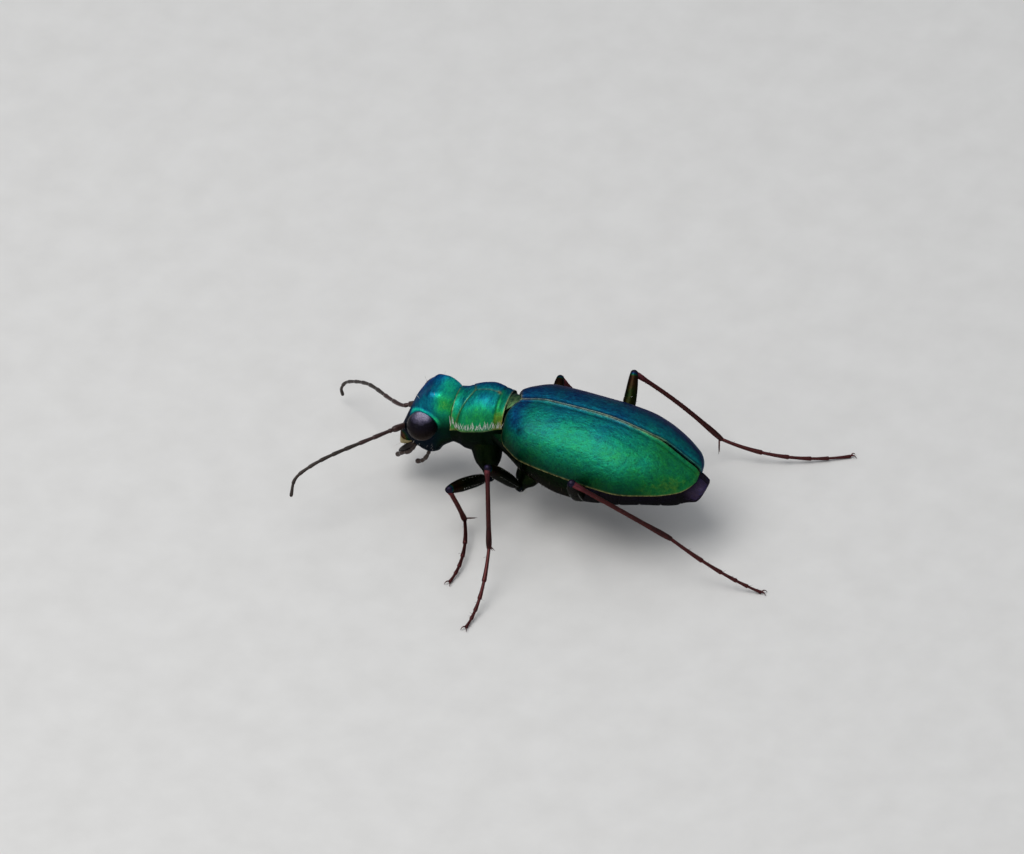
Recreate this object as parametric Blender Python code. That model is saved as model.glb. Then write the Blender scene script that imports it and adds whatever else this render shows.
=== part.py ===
"""A tiger beetle, life size, standing on its six feet.

The head faces -Y, the beetle's left side is +X and +Z is up.
Sizes are in millimetres here and become metres in each mesh.
Named points are measured from the front end of the wing covers' seam,
straight down to the floor.
"""
import math

import bmesh
import bpy
from mathutils import Matrix, Vector

MM = 0.001
GAP = 0.3

# Where the front end of the seam stands, so that the origin is under the middle
SEAM_X = -0.66
SEAM_Y = -1.36
SEAM_HEIGHT = 5.1

# Wing covers, along the seam: fraction of the length, then a size
COVER_LENGTH = 7.95
COVER_PITCH = math.radians(7)
COVER_ROUNDNESS = [(0, 2.45), (0.2, 2.25), (0.45, 2.05), (1, 2.0)]
COVER_HALF_WIDTH = [(0, 1.0), (0.04, 1.71), (0.12, 2.18), (0.35, 2.32), (0.62, 2.42),
                    (0.82, 1.94), (0.94, 1.37), (1, 0.62)]
COVER_RISE = [(0, 1.3), (0.15, 1.72), (0.45, 1.89), (0.75, 1.49), (0.93, 0.72), (1, 0.42)]
COVER_EDGE_LIFT = 0.08
COVER_EDGE_CURL = 0.5
COVER_THICKNESS = 0.5
COVER_SHOULDER = 0.2
COVER_SHOULDER_END = 0.14
SHOULDER_INNER = 0.55
SHOULDER_OUTER = 2.3
SHOULDER_FALL = 0.7
COVER_STATIONS = (0, 0.012, 0.04, 0.08, 0.13, 0.2, 0.28, 0.36, 0.45, 0.54, 0.63, 0.71, 0.78, 0.84,
                  0.89, 0.93, 0.96, 0.98, 1)
COVER_STEPS = 12

# Hind body under the covers, in the same frame
BELLY_DEPTH = [(0, 1.1), (0.1, 1.5), (0.2, 1.65), (0.32, 1.85), (0.45, 1.7), (0.6, 1.48), (0.8, 1.3),
               (0.93, 1.22), (1, 1.05), (1.05, 0.9)]
BELLY_INSET = 0.3
BELLY_FRONT = [(-0.03, 1.3), (0.05, 1.6), (0.12, 1.88)]
BELLY_ROUNDNESS = 2.3
BELLY_CLEARANCE = 0.39
THORAX_START = -0.02
THORAX_END = 0.46
ABDOMEN_LENGTH = 1.035
TAIL_HALF_WIDTH = 0.85
TAIL_TIP = 0.02
TAIL_TIP_DROP = 0.45

# Prothorax, from its back edge to its front edge
PRONOTUM_LENGTH = 2.22
PRONOTUM_START = -0.6
PRONOTUM_YAW = math.radians(4)
PRONOTUM_HALF_WIDTH = [(0, 1.04), (0.1, 1.06), (0.4, 1.2), (0.75, 1.18), (0.88, 1.05), (1, 1.06)]
PRONOTUM_TOP = [(0, -0.06), (0.06, -0.03), (0.14, 0.06), (0.35, 0.15), (0.6, 0.03), (0.78, -0.16),
                (0.84, -0.24), (1, -0.33)]
PRONOTUM_EDGE = [(0, -0.9), (0.35, -1.15), (1, -1.6)]
PRONOTUM_BELLY = [(0, -2.35), (0.35, -2.75), (0.7, -2.7), (1, -2.5)]
PRONOTUM_ROUNDNESS = 2.3
UNDERSIDE_ROUNDNESS = 2.1
UNDERSIDE_WIDTH = 0.96
PRONOTUM_STATIONS = (0, 0.04, 0.08, 0.12, 0.18, 0.28, 0.4, 0.52, 0.64, 0.73, 0.78, 0.82, 0.87, 0.94, 1)

SCUTELLUM_START = -0.25
SCUTELLUM_LENGTH = 0.65
SCUTELLUM_HALF_WIDTH = 0.42
SCUTELLUM_DEPTH = 0.55
SCUTELLUM_SLOPE = 0.12

# Head, in its own frame: x sideways, then forward of the neck and above it
HEAD_NECK = (0.15, -2.98, 3.55)
HEAD_ROLL = math.radians(4)
HEAD_SECTIONS = [
    # top, bottom, half width and height of the brow ridges
    ((0.04, 1.25), (0.04, -1.0), 0.95, 0.0),
    ((0.3, 1.38), (0.25, -1.45), 0.98, 0.06),
    ((0.66, 1.36), (0.45, -1.8), 1.02, 0.12),
    ((1.0, 1.14), (0.75, -1.9), 1.03, 0.14),
    ((1.32, 0.75), (1.02, -1.84), 1.0, 0.12),
    ((1.6, 0.25), (1.24, -1.7), 0.93, 0.08),
    ((1.84, -0.3), (1.42, -1.52), 0.8, 0.02),
    ((2.0, -0.8), (1.56, -1.36), 0.68, 0.0),
]
HEAD_ROUNDNESS_ABOVE = 2.7
HEAD_ROUNDNESS_BELOW = 2.4
BROW_PLACE = 0.7
BROW_WIDTH = 0.26
EYE_RADIUS = 0.62
EYE_PLACE = (1.06, 0.93, -0.02)

# Mouth, in the head's frame: lip sections as half width, forward and up, then paths
LABRUM_SECTIONS = ((0.6, 2.04, -1.4), (0.64, 2.14, -1.68), (0.44, 2.18, -1.96))
LABRUM_OUTLINE = ((1, -0.3), (0.6, 0.5), (-0.6, 0.5), (-1, -0.3), (-0.9, -0.75), (0.9, -0.75))
LABRUM_THICKNESS = 0.24
LABRUM_TILT = 0.1
MANDIBLE_PATH = ((0.42, 1.4, -1.98), (0.52, 1.72, -2.26), (0.42, 1.96, -2.46), (0.24, 2.06, -2.6))
MANDIBLE_RADIUS = 0.2
MANDIBLE_TAPER = 0.12
PALP_OUTER_PATH = ((1.0, 1.2, -1.84), (1.16, 1.66, -2.16), (0.98, 2.18, -2.46))
PALP_INNER_PATH = ((0.5, 0.84, -2.24), (0.62, 1.04, -2.55), (0.6, 1.36, -2.7))
PALP_RADIUS = 0.22
PALP_TAPER = 0.06

# Legs: hip, knee, ankle, a point that the tarsus bends towards, and the toe
LEGS = {
    "front_left": [(1.05, -0.95, 1.5), (3.8, -1.63, 2.72), (2.85, -1.32, 0.52),
                   (4.9, -0.3, 0.42), (6.26, -0.59, 0.1)],
    "middle_left": [(1.3, 0.5, 1.6), (3.75, 0.04, 4.32), (5.45, 0.8, 1.66),
                    (7.3, 1.3, 0.3), (8.7, 1.11, 0.1)],
    "hind_left": [(1.05, 3.1, 1.38), (3.96, 3.8, 4.83), (2.62, 7.6, 2.08),
                  (2.5, 9.7, 0.7), (2.16, 11.38, 0.1)],
    "front_right": [(-1.05, -0.95, 1.5), (-3.3, -2.5, 1.7), (-4.0, -0.5, 0.52),
                    (-5.0, 0.5, 0.4), (-6.2, 1.2, 0.1)],
    "middle_right": [(-1.3, 0.6, 1.72), (-4.54, -0.1, 2.76), (-4.8, 1.9, 0.62),
                     (-5.1, 3.2, 0.3), (-5.6, 4.5, 0.1)],
    "hind_right": [(-1.05, 3.2, 1.6), (-4.1, 3.32, 4.4), (-5.38, 6.65, 0.98),
                   (-5.6, 9.2, 0.2), (-7.36, 11.55, 0.1)],
}
COXA_ROOT = {"front": (0.4, -1.3, 2.85), "middle": (0.95, 0.8, 2.25), "hind": (0.7, 2.9, 2.0)}
COXA_RADIUS = {"front": 0.52, "middle": 0.55, "hind": 0.5}
COXA_END_RADIUS = 0.28
FEMUR_RADIUS = 0.29
SHIN_RADIUS = 0.25
TARSUS_RADIUS = 0.25
TOE_RADIUS = 0.17
SPUR_LENGTH = 0.7
CLAW_LENGTH = 0.42
TARSOMERE_SHARES = (0.33, 0.21, 0.17, 0.13, 0.16)
TARSOMERE_WAIST = 0.86
JOINT_REACH = 0.9
TARSUS_CLEAR = 0.6
SPUR_RADIUS = 0.1
SPUR_INSET = 0.5

# Antennae, root to tip, and where each of their lengths starts and ends
ANTENNAE = {
    "left": [(0.75, -4.76, 2.86), (1.36, -5.11, 2.95), (2.29, -5.69, 3.0), (3.68, -6.71, 2.95),
             (4.52, -7.38, 2.75), (5.08, -7.85, 2.35), (5.53, -7.85, 1.8)],
    "right": [(-0.4, -4.96, 3.03), (-0.4, -5.38, 2.85), (-0.87, -6.09, 2.6), (-2.0, -7.52, 2.1),
              (-2.7, -8.7, 1.35), (-2.8, -9.05, 0.85), (-2.8, -9.0, 0.5)],
}
ANTENNA_PARTS = (("root", 0.07, 0.2), ("middle", 0.25, 0.56), ("tip", 0.61, 1))
ANTENNA_STEP = 0.25
ANTENNA_RADIUS = 0.25
ANTENNA_TIP_RADIUS = 0.13

GREEN = (0.01, 0.33, 0.2)
DARK_GREEN = (0.01, 0.06, 0.04)
COLOURS = {
    "shell": (GREEN, 0.28, 0.9),
    "body": (DARK_GREEN, 0.35, 0.7),
    "eye": ((0.03, 0.02, 0.04), 0.12, 0.1),
    "leg": ((0.06, 0.025, 0.03), 0.35, 0.4),
    "feeler": ((0.05, 0.03, 0.02), 0.5, 0.1),
    "lip": ((0.75, 0.66, 0.42), 0.45, 0.0),
}


def material(kind):
    """One Principled material for each kind of surface."""
    found = bpy.data.materials.get(kind)
    if found:
        return found
    colour, roughness, metallic = COLOURS[kind]
    made = bpy.data.materials.new(kind)
    made.use_nodes = True
    shader = made.node_tree.nodes["Principled BSDF"]
    shader.inputs["Base Color"].default_value = (*colour, 1)
    shader.inputs["Roughness"].default_value = roughness
    shader.inputs["Metallic"].default_value = metallic
    return made


def smooth_value(knots, t):
    """A smooth curve through (place, value) knots that never overshoots."""
    places = [k[0] for k in knots]
    values = [k[1] for k in knots]
    slopes = [(values[i + 1] - values[i]) / (places[i + 1] - places[i]) for i in range(len(knots) - 1)]
    tangents = [slopes[0]]
    for before, after in zip(slopes, slopes[1:]):
        flat = before * after <= 0
        tangents.append(0 if flat else 2 * before * after / (before + after))
    tangents.append(slopes[-1])
    t = min(max(t, places[0]), places[-1])
    i = max(k for k in range(len(slopes)) if places[k] <= t)
    width = places[i + 1] - places[i]
    u = (t - places[i]) / width
    start = (1 + 2 * u) * (1 - u) ** 2 * values[i] + u * (1 - u) ** 2 * width * tangents[i]
    end = u * u * (3 - 2 * u) * values[i + 1] - u * u * (1 - u) * width * tangents[i + 1]
    return start + end


def power(value, exponent):
    """A power that keeps the sign."""
    return math.copysign(abs(value) ** exponent, value)


def smooth_path(points, per_span):
    """A smooth line through points, as a Catmull-Rom curve."""
    points = [Vector(p) for p in points]
    padded = [2 * points[0] - points[1]] + points + [2 * points[-1] - points[-2]]
    path = []
    for a, b, c, d in zip(padded, padded[1:], padded[2:], padded[3:]):
        for step in range(per_span):
            u = step / per_span
            path.append(0.5 * (2 * b + (c - a) * u + (2 * a - 5 * b + 4 * c - d) * u * u
                               + (3 * b - a - 3 * c + d) * u ** 3))
    path.append(points[-1])
    return path


def make_object(name, mesh_data, kind):
    """Link a mesh in millimetres as a named object at the model's origin."""
    bmesh.ops.recalc_face_normals(mesh_data, faces=mesh_data.faces)
    shift = Matrix.Translation(Vector((SEAM_X, SEAM_Y, 0)) * MM) @ Matrix.Scale(MM, 4)
    bmesh.ops.transform(mesh_data, matrix=shift, verts=mesh_data.verts)
    mesh = bpy.data.meshes.new(name)
    mesh_data.to_mesh(mesh)
    mesh_data.free()
    mesh.shade_smooth()
    mesh.set_sharp_from_angle(angle=math.radians(50))
    made = bpy.data.objects.new(name, mesh)
    made.data.materials.append(material(kind))
    bpy.context.scene.collection.objects.link(made)
    return made


def loft(rings, start_tip=None, end_tip=None):
    """A closed body through rings of points, with flat or pointed ends."""
    body = bmesh.new()
    rows = [[body.verts.new(p) for p in ring] for ring in rings]
    count = len(rings[0])
    for low, high in zip(rows, rows[1:]):
        for i in range(count):
            j = (i + 1) % count
            body.faces.new((low[i], low[j], high[j], high[i]))
    for row, tip in ((rows[0], start_tip), (rows[-1], end_tip)):
        if tip is None:
            body.faces.new(row)
            continue
        point = body.verts.new(tip)
        for i in range(count):
            body.faces.new((row[i], row[(i + 1) % count], point))
    return body


def ball(centre, radii, turn=Matrix.Identity(3), detail=3):
    """A closed ellipsoid."""
    body = bmesh.new()
    bmesh.ops.create_icosphere(body, subdivisions=detail, radius=1)
    stretch = turn.to_4x4() @ Matrix.Diagonal((*radii, 1))
    bmesh.ops.transform(body, matrix=Matrix.Translation(centre) @ stretch, verts=body.verts)
    return body


def rings_along(path, radii, sides):
    """Round rings square to a path, which don't twist."""
    tangents = []
    for i in range(len(path)):
        before = path[max(i - 1, 0)]
        after = path[min(i + 1, len(path) - 1)]
        tangents.append((after - before).normalized())
    across = tangents[0].orthogonal().normalized()
    rings = []
    for point, tangent, radius in zip(path, tangents, radii):
        across = (across - across.dot(tangent) * tangent).normalized()
        other = tangent.cross(across)
        turns = [2 * math.pi * k / sides for k in range(sides)]
        rings.append([point + radius * (math.cos(a) * across + math.sin(a) * other) for a in turns])
    return rings, tangents


def limb(path, radii, sides=10, start_cut=None, end_cut=None, round_start=False, round_end=False):
    """A round limb along a path; a cut is a plane that an end is slid onto."""
    rings, tangents = rings_along(path, radii, sides)
    for ring, tangent, cut in ((rings[0], tangents[0], start_cut), (rings[-1], tangents[-1], end_cut)):
        if cut:
            origin, normal = cut
            ring[:] = [p + tangent * ((origin - p).dot(normal) / tangent.dot(normal)) for p in ring]
    start_tip = path[0] - tangents[0] * radii[0] * 0.6 if round_start else None
    end_tip = path[-1] + tangents[-1] * radii[-1] * 0.6 if round_end else None
    return loft(rings, start_tip, end_tip)


def rest_on_floor(body):
    """Press what would reach below the floor into a flat."""
    for vert in body.verts:
        vert.co.z = max(vert.co.z, 0)
    return body


def join(name, pieces, kind):
    """One closed node from overlapping closed pieces."""
    base = make_object(name, pieces[0], kind)
    others = bpy.data.collections.new(name + "_pieces")
    for number, piece in enumerate(pieces[1:]):
        part = make_object(f"{name}_piece_{number}", piece, kind)
        others.objects.link(part)
    union = base.modifiers.new("Union", "BOOLEAN")
    union.operation = "UNION"
    union.operand_type = "COLLECTION"
    union.collection = others
    union.solver = "EXACT"
    evaluated = base.evaluated_get(bpy.context.evaluated_depsgraph_get())
    joined = bpy.data.meshes.new_from_object(evaluated)
    base.modifiers.remove(union)
    base.data = joined
    for part in list(others.objects):
        bpy.data.objects.remove(part)
    bpy.data.collections.remove(others)
    keep_largest(joined)
    return base


def keep_largest(mesh):
    """Keep only the largest closed surface of a mesh."""
    body = bmesh.new()
    body.from_mesh(mesh)
    left = set(body.verts)
    groups = []
    while left:
        front = [left.pop()]
        group = set(front)
        while front:
            vert = front.pop()
            near = {edge.other_vert(vert) for edge in vert.link_edges} & left
            left -= near
            group |= near
            front.extend(near)
        groups.append(group)
    largest = max(groups, key=len)
    spare = [vert for group in groups if group is not largest for vert in group]
    bmesh.ops.delete(body, geom=spare, context="VERTS")
    bmesh.ops.recalc_face_normals(body, faces=body.faces)
    body.to_mesh(mesh)
    body.free()


def cover_point(x, along, z):
    """A point of the wing covers' own frame, set at its pitch."""
    pitch = Matrix.Rotation(-COVER_PITCH, 3, "X")
    root = Vector((0, 0, SEAM_HEIGHT)) - pitch @ Vector((0, 0, smooth_value(COVER_RISE, 0)))
    return root + pitch @ Vector((x, along * COVER_LENGTH, z))


def cover_edge(t):
    """Height of the covers' side edge in their own frame."""
    return COVER_EDGE_LIFT * t + COVER_EDGE_CURL * t * t


def dome(half_width, rise, turns, roundness):
    """Points on the upper half of a rounded section."""
    return [(half_width * power(math.cos(a), 2 / roundness), rise * power(math.sin(a), 2 / roundness))
            for a in turns]


def half_turn(steps):
    """Even steps through half a turn, from one side to the other."""
    return [math.pi * k / steps for k in range(steps + 1)]


def shoulder(t, x):
    """How far the front edge of a cover reaches forward beside the scutellum."""
    fade = max(1 - t / COVER_SHOULDER_END, 0)
    bow = min(x / SHOULDER_INNER, 1) * min(max((SHOULDER_OUTER - x) / SHOULDER_FALL, 0), 1)
    return COVER_SHOULDER / COVER_LENGTH * fade * bow


def elytron(side):
    """A wing cover: a thin arched shell, thickest on top."""
    rings = []
    for t in COVER_STATIONS:
        width = smooth_value(COVER_HALF_WIDTH, t)
        rise = smooth_value(COVER_RISE, t)
        roundness = smooth_value(COVER_ROUNDNESS, t)
        thickness = min(COVER_THICKNESS, 0.55 * width, 0.55 * rise)
        ring = []
        for inward, order in ((0, 1), (thickness, -1)):
            last = math.acos(power(GAP / 2 / (width - inward), roundness / 2))
            turns = [last * k / COVER_STEPS for k in range(COVER_STEPS + 1)][::order]
            ring += dome(width - inward, rise - inward, turns, roundness)
        edge = cover_edge(t)
        rings.append([cover_point(side * x, t - shoulder(t, x), edge + z) for x, z in ring])
    return make_object("elytron_left" if side > 0 else "elytron_right", loft(rings), "shell")


def belly_ring(t):
    """A section of the hind body, below the covers' edge and up under their arch."""
    covered = min(max(t, 0), 1)
    width = smooth_value(COVER_HALF_WIDTH, covered)
    rise = smooth_value(COVER_RISE, covered)
    edge = cover_edge(covered) - GAP
    lower = smooth_value(BELLY_FRONT, t) if t < BELLY_FRONT[-1][0] else width - BELLY_INSET
    lower = max(lower, TAIL_HALF_WIDTH)
    depth = smooth_value(BELLY_DEPTH, t)
    upper = max(min(width - COVER_THICKNESS - BELLY_CLEARANCE, lower - 0.02), 0.3)
    height = max(rise - COVER_THICKNESS - BELLY_CLEARANCE, 0.02)
    below = [(x, -z) for x, z in dome(lower, depth, half_turn(16), BELLY_ROUNDNESS)]
    above = dome(upper, height, half_turn(12)[::-1], smooth_value(COVER_ROUNDNESS, covered))
    return [cover_point(x, t, edge + z) for x, z in below + above]


def hind_body(start, end, steps, tail=None):
    """A length of the hind body between two places under the covers."""
    rings = [belly_ring(start + (end - start) * k / steps) for k in range(steps + 1)]
    return loft(rings, end_tip=tail)


def prothorax_point(x, t, z):
    """A point of the prothorax, from its back edge at t = 0 to its front edge at t = 1."""
    turn = Matrix.Rotation(PRONOTUM_YAW, 3, "Z")
    root = Vector((0, PRONOTUM_START, SEAM_HEIGHT))
    return root + turn @ Vector((x, -t * PRONOTUM_LENGTH, z))


def prothorax():
    """The middle body: a domed shield over a rounded underside."""
    rings = []
    for t in PRONOTUM_STATIONS:
        width = smooth_value(PRONOTUM_HALF_WIDTH, t)
        top = smooth_value(PRONOTUM_TOP, t)
        edge = smooth_value(PRONOTUM_EDGE, t)
        belly = smooth_value(PRONOTUM_BELLY, t)
        above = dome(width, top - edge, half_turn(16), PRONOTUM_ROUNDNESS)
        under = dome(UNDERSIDE_WIDTH * width, edge - belly, half_turn(12)[1:-1], UNDERSIDE_ROUNDNESS)
        below = [(x, -z) for x, z in under[::-1]]
        rings.append([prothorax_point(x, t, edge + z) for x, z in above + below])
    return join("prothorax", [loft(rings)] + coxae("front"), "shell")


def scutellum_wedge(spare=0):
    """The small triangle between the roots of the wing covers, or a larger one to cut room."""
    rings = []
    for t, width, drop in ((0, 1, 0.02), (0.5, 0.62, 0), (1, 0.12, 0.06)):
        y = SCUTELLUM_START - spare + (SCUTELLUM_LENGTH + 2 * spare) * t
        top = SEAM_HEIGHT - drop + spare
        bottom = SEAM_HEIGHT - SCUTELLUM_DEPTH - spare
        x = SCUTELLUM_HALF_WIDTH * width + spare
        side = top - SCUTELLUM_SLOPE
        rings.append([Vector((x, y, side)), Vector((0, y, top)), Vector((-x, y, side)),
                      Vector((-0.8 * x, y, bottom)), Vector((0.8 * x, y, bottom))])
    return loft(rings)


def head_turn():
    """The head's roll and small turn."""
    return Matrix.Rotation(PRONOTUM_YAW, 3, "Z") @ Matrix.Rotation(HEAD_ROLL, 3, "Y")


def head_point(x, forward, up):
    """A point of the head's own frame."""
    return Vector(HEAD_NECK) + head_turn() @ Vector((x, -forward, up))


def head_section(top, bottom, half_width, brow):
    """A section of the head, boxy above with two brow ridges, rounder below."""
    top, bottom = Vector((0, *top)), Vector((0, *bottom))
    middle = (top + bottom) / 2
    ring = []
    for k in range(28):
        turn = 2 * math.pi * k / 28
        roundness = HEAD_ROUNDNESS_ABOVE if math.sin(turn) > 0 else HEAD_ROUNDNESS_BELOW
        x = power(math.cos(turn), 2 / roundness)
        rise = power(math.sin(turn), 2 / roundness)
        if rise > 0:
            rise += brow * math.exp(-((abs(x) - BROW_PLACE) / BROW_WIDTH) ** 2)
        point = middle + (top - middle) * rise
        ring.append(head_point(half_width * x, point.y, point.z))
    return ring


def head():
    """The head capsule, from the neck to the front of the face."""
    rings = [head_section(*section) for section in HEAD_SECTIONS]
    return make_object("head", loft(rings), "shell")


def carve(node, cutters):
    """Cut a node clear of its neighbours."""
    for shape in cutters:
        cutter = make_object("cutter", shape, "body")
        cut = node.modifiers.new("Room", "BOOLEAN")
        cut.operation = "DIFFERENCE"
        cut.object = cutter
        cut.solver = "EXACT"
        evaluated = node.evaluated_get(bpy.context.evaluated_depsgraph_get())
        carved = bpy.data.meshes.new_from_object(evaluated)
        node.modifiers.remove(cut)
        node.data = carved
        bpy.data.objects.remove(cutter)
    keep_largest(node.data)


def eye_rooms():
    """Room in the head for both eyes."""
    return [ball(eye_centre(side), (EYE_RADIUS + GAP,) * 3) for side in (1, -1)]


def eye_centre(side):
    """Where an eye sits."""
    x, forward, up = EYE_PLACE
    return head_point(side * x, forward, up)


def eye(side):
    """A bulging eye."""
    name = "eye_left" if side > 0 else "eye_right"
    shape = ball(eye_centre(side), (EYE_RADIUS,) * 3, head_turn())
    return make_object(name, shape, "eye")


def labrum():
    """The pale upper lip."""
    rings = []
    for half, forward, up in LABRUM_SECTIONS:
        rings.append([head_point(half * a, forward + LABRUM_THICKNESS * b, up + LABRUM_TILT * b)
                      for a, b in LABRUM_OUTLINE])
    return make_object("labrum", loft(rings), "lip")


def mandible(side):
    """A curved jaw under the lip."""
    path = smooth_path([head_point(side * x, y, z) for x, y, z in MANDIBLE_PATH], 3)
    last = len(path) - 1
    radii = [MANDIBLE_RADIUS - MANDIBLE_TAPER * (k / last) ** 2 for k in range(last + 1)]
    name = "mandible_left" if side > 0 else "mandible_right"
    return make_object(name, limb(path, radii, 8, round_end=True), "lip")


def palp(name, side, points):
    """A jointed mouth feeler."""
    path = smooth_path([head_point(side * x, y, z) for x, y, z in points], 4)
    last = len(path) - 1
    radii = [PALP_RADIUS - PALP_TAPER * k / last for k in range(last + 1)]
    return make_object(name, limb(path, radii, 8, round_end=True), "feeler")


def stretch(path, start, end, step):
    """The part of a path between two lengths along it, in even steps."""
    along = [0]
    for a, b in zip(path, path[1:]):
        along.append(along[-1] + (b - a).length)
    count = round((end - start) / step)
    points = []
    for k in range(count + 1):
        place = start + (end - start) * k / count
        i = max(n for n in range(len(path) - 1) if along[n] <= place)
        points.append(path[i].lerp(path[i + 1], (place - along[i]) / (along[i + 1] - along[i])))
    return points


def antenna(hand):
    """A feeler in three lengths: a stout root, a middle and a tip."""
    path = smooth_path(ANTENNAE[hand], 8)
    whole = sum((b - a).length for a, b in zip(path, path[1:]))
    for part, first, last in ANTENNA_PARTS:
        points = stretch(path, first * whole, last * whole, ANTENNA_STEP)
        shares = [first + (last - first) * k / (len(points) - 1) for k in range(len(points))]
        radii = [ANTENNA_RADIUS + (ANTENNA_TIP_RADIUS - ANTENNA_RADIUS) * share for share in shares]
        shape = limb(points, radii, 8, round_end=part == "tip")
        make_object(f"antenna_{hand}_{part}", shape, "feeler")


def bend_plane(before, joint, after, side):
    """A plane across a joint, half a gap to one side of it."""
    normal = ((joint - before).normalized() + (after - joint).normalized()).normalized()
    return joint + normal * (side * GAP / 2), normal


def tarsus_path(ankle, bend, toe, steps=15):
    """A quadratic curve from ankle to toe."""
    path = []
    for k in range(steps + 1):
        u = k / steps
        path.append((1 - u) ** 2 * ankle + 2 * u * (1 - u) * bend + u * u * toe)
    return path


def tarsomere_radius(u):
    """Five small joints, each a little wider at its far end."""
    start = 0
    for share in TARSOMERE_SHARES:
        if u <= start + share + 1e-6:
            swell = (u - start) / share
            shape = TARSOMERE_WAIST + (1 - TARSOMERE_WAIST) * swell
            return shape * (TARSUS_RADIUS + (TOE_RADIUS - TARSUS_RADIUS) * u)
        start += share
    return TOE_RADIUS


def hip_root(name):
    """Where a leg's coxa starts inside the body."""
    kind, hand = name.split("_")
    root = Vector(COXA_ROOT[kind])
    if hand == "right":
        root.x = -root.x
    return root


def coxae(kind):
    """The cones that carry one pair of legs."""
    cones = []
    for name, points in LEGS.items():
        if name.startswith(kind):
            root, hip = hip_root(name), Vector(points[0])
            wide = COXA_RADIUS[kind]
            radii = [wide, (wide + COXA_END_RADIUS) / 2 + 0.03, COXA_END_RADIUS]
            cones.append(limb([root, root.lerp(hip, 0.5), hip], radii, 12, round_start=True, round_end=True))
    return cones


def thigh(name, points, spare=0):
    """The femur with its trochanter, or a thicker one that cuts room for it."""
    hip, knee, ankle = [Vector(p) for p in points[:3]]
    near_knee = 1 - JOINT_REACH / (knee - hip).length
    path = [hip.lerp(knee, u) for u in (0, 0.17, 0.3, 0.55, near_knee, 1)]
    swell = [0.85, 0.96, 1.06, 1.0, 0.88, 0.87]
    return limb(path, [FEMUR_RADIUS * s + spare for s in swell], 10,
                start_cut=bend_plane(hip_root(name), hip, knee, -1 if spare else 1),
                end_cut=bend_plane(hip, knee, ankle, -1))


def spike(start, end, radius):
    """A spine or claw that tapers to a point."""
    return limb([start, start.lerp(end, 0.85)], [radius, 0.3 * radius], 5, round_end=True)


def leg(name, points):
    """A leg in three nodes: femur, tibia with its spurs, and tarsus with its claws."""
    hip, knee, ankle, bend, toe = [Vector(p) for p in points]
    make_object(f"leg_{name}_femur", thigh(name, points), "body")

    bent = JOINT_REACH / (ankle - knee).length
    shin = [knee.lerp(ankle, u) for u in (0, bent, 0.5, 1 - bent, 1)]
    tibia = limb(shin, [SHIN_RADIUS * s for s in (0.98, 1, 1, 1.02, 1.04)], 8,
                 start_cut=bend_plane(hip, knee, ankle, 1), end_cut=bend_plane(knee, ankle, bend, -1))
    along = (ankle - knee).normalized()
    inward = (along.cross(bend - ankle).cross(along)).normalized()
    across = along.cross(inward)
    root = ankle - along * SPUR_INSET
    ways = [(along - 1.1 * inward + lean * across).normalized() for lean in (0.5, -0.5)]
    spurs = [spike(root, root + SPUR_LENGTH * way, SPUR_RADIUS) for way in ways]
    join(f"leg_{name}_tibia", [rest_on_floor(tibia)] + spurs, "leg")

    path = tarsus_path(ankle, bend, toe)
    last = len(path) - 1
    kept = [k for k in range(last + 1) if k == 0 or (path[k] - ankle).length > TARSUS_CLEAR]
    radii = [tarsomere_radius(k / last) for k in kept]
    foot = limb([path[k] for k in kept], radii, 8, start_cut=bend_plane(knee, ankle, bend, 1),
                round_end=True)
    ahead = (path[-1] - path[-2]).normalized()
    ahead.z = 0
    aside = Vector((-ahead.y, ahead.x, 0))
    claw_root = toe + Vector((0, 0, 0.04))
    ways = [(ahead + lean * aside).normalized() for lean in (0.6, -0.6)]
    claws = [spike(claw_root, claw_root + CLAW_LENGTH * way, SPUR_RADIUS) for way in ways]
    join(f"leg_{name}_tarsus", [rest_on_floor(foot)] + claws, "leg")


def leg_rooms(kind):
    """Room in the body for one pair of legs, or for one leg."""
    return [thigh(name, points, GAP) for name, points in LEGS.items() if name.startswith(kind)]


def build():
    """Every node of the beetle."""
    for old in list(bpy.data.objects):
        bpy.data.objects.remove(old)
    carve(elytron(1), [scutellum_wedge(GAP)] + leg_rooms("hind_left"))
    carve(elytron(-1), [scutellum_wedge(GAP)])
    make_object("scutellum", scutellum_wedge(), "shell")
    carve(prothorax(), leg_rooms("front"))
    chest = [hind_body(THORAX_START, THORAX_END, 10)] + coxae("middle") + coxae("hind")
    carve(join("pterothorax", chest, "body"), leg_rooms("middle") + leg_rooms("hind"))
    gap_share = GAP / COVER_LENGTH
    tail = cover_point(0, ABDOMEN_LENGTH + TAIL_TIP, cover_edge(1) - GAP - TAIL_TIP_DROP)
    rear = make_object("abdomen", hind_body(THORAX_END + gap_share, ABDOMEN_LENGTH, 14, tail), "body")
    carve(rear, leg_rooms("hind"))
    carve(head(), eye_rooms())
    for side in (1, -1):
        eye(side)
        mandible(side)
        hand = "left" if side > 0 else "right"
        palp(f"palp_outer_{hand}", side, PALP_OUTER_PATH)
        palp(f"palp_inner_{hand}", side, PALP_INNER_PATH)
        antenna(hand)
    labrum()
    for name, points in LEGS.items():
        leg(name, points)


build()
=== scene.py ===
"""The looks of the tiger beetle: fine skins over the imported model, hairs, light and camera.

Sizes are in millimetres here and become metres in each mesh. As in the model's
source, points are measured from the front end of the wing covers' seam, straight
down to the floor; the head faces -Y and the beetle's left side is +X.
"""
import math
import random

import bpy
import numpy as np
from mathutils import Matrix, Vector


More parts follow.
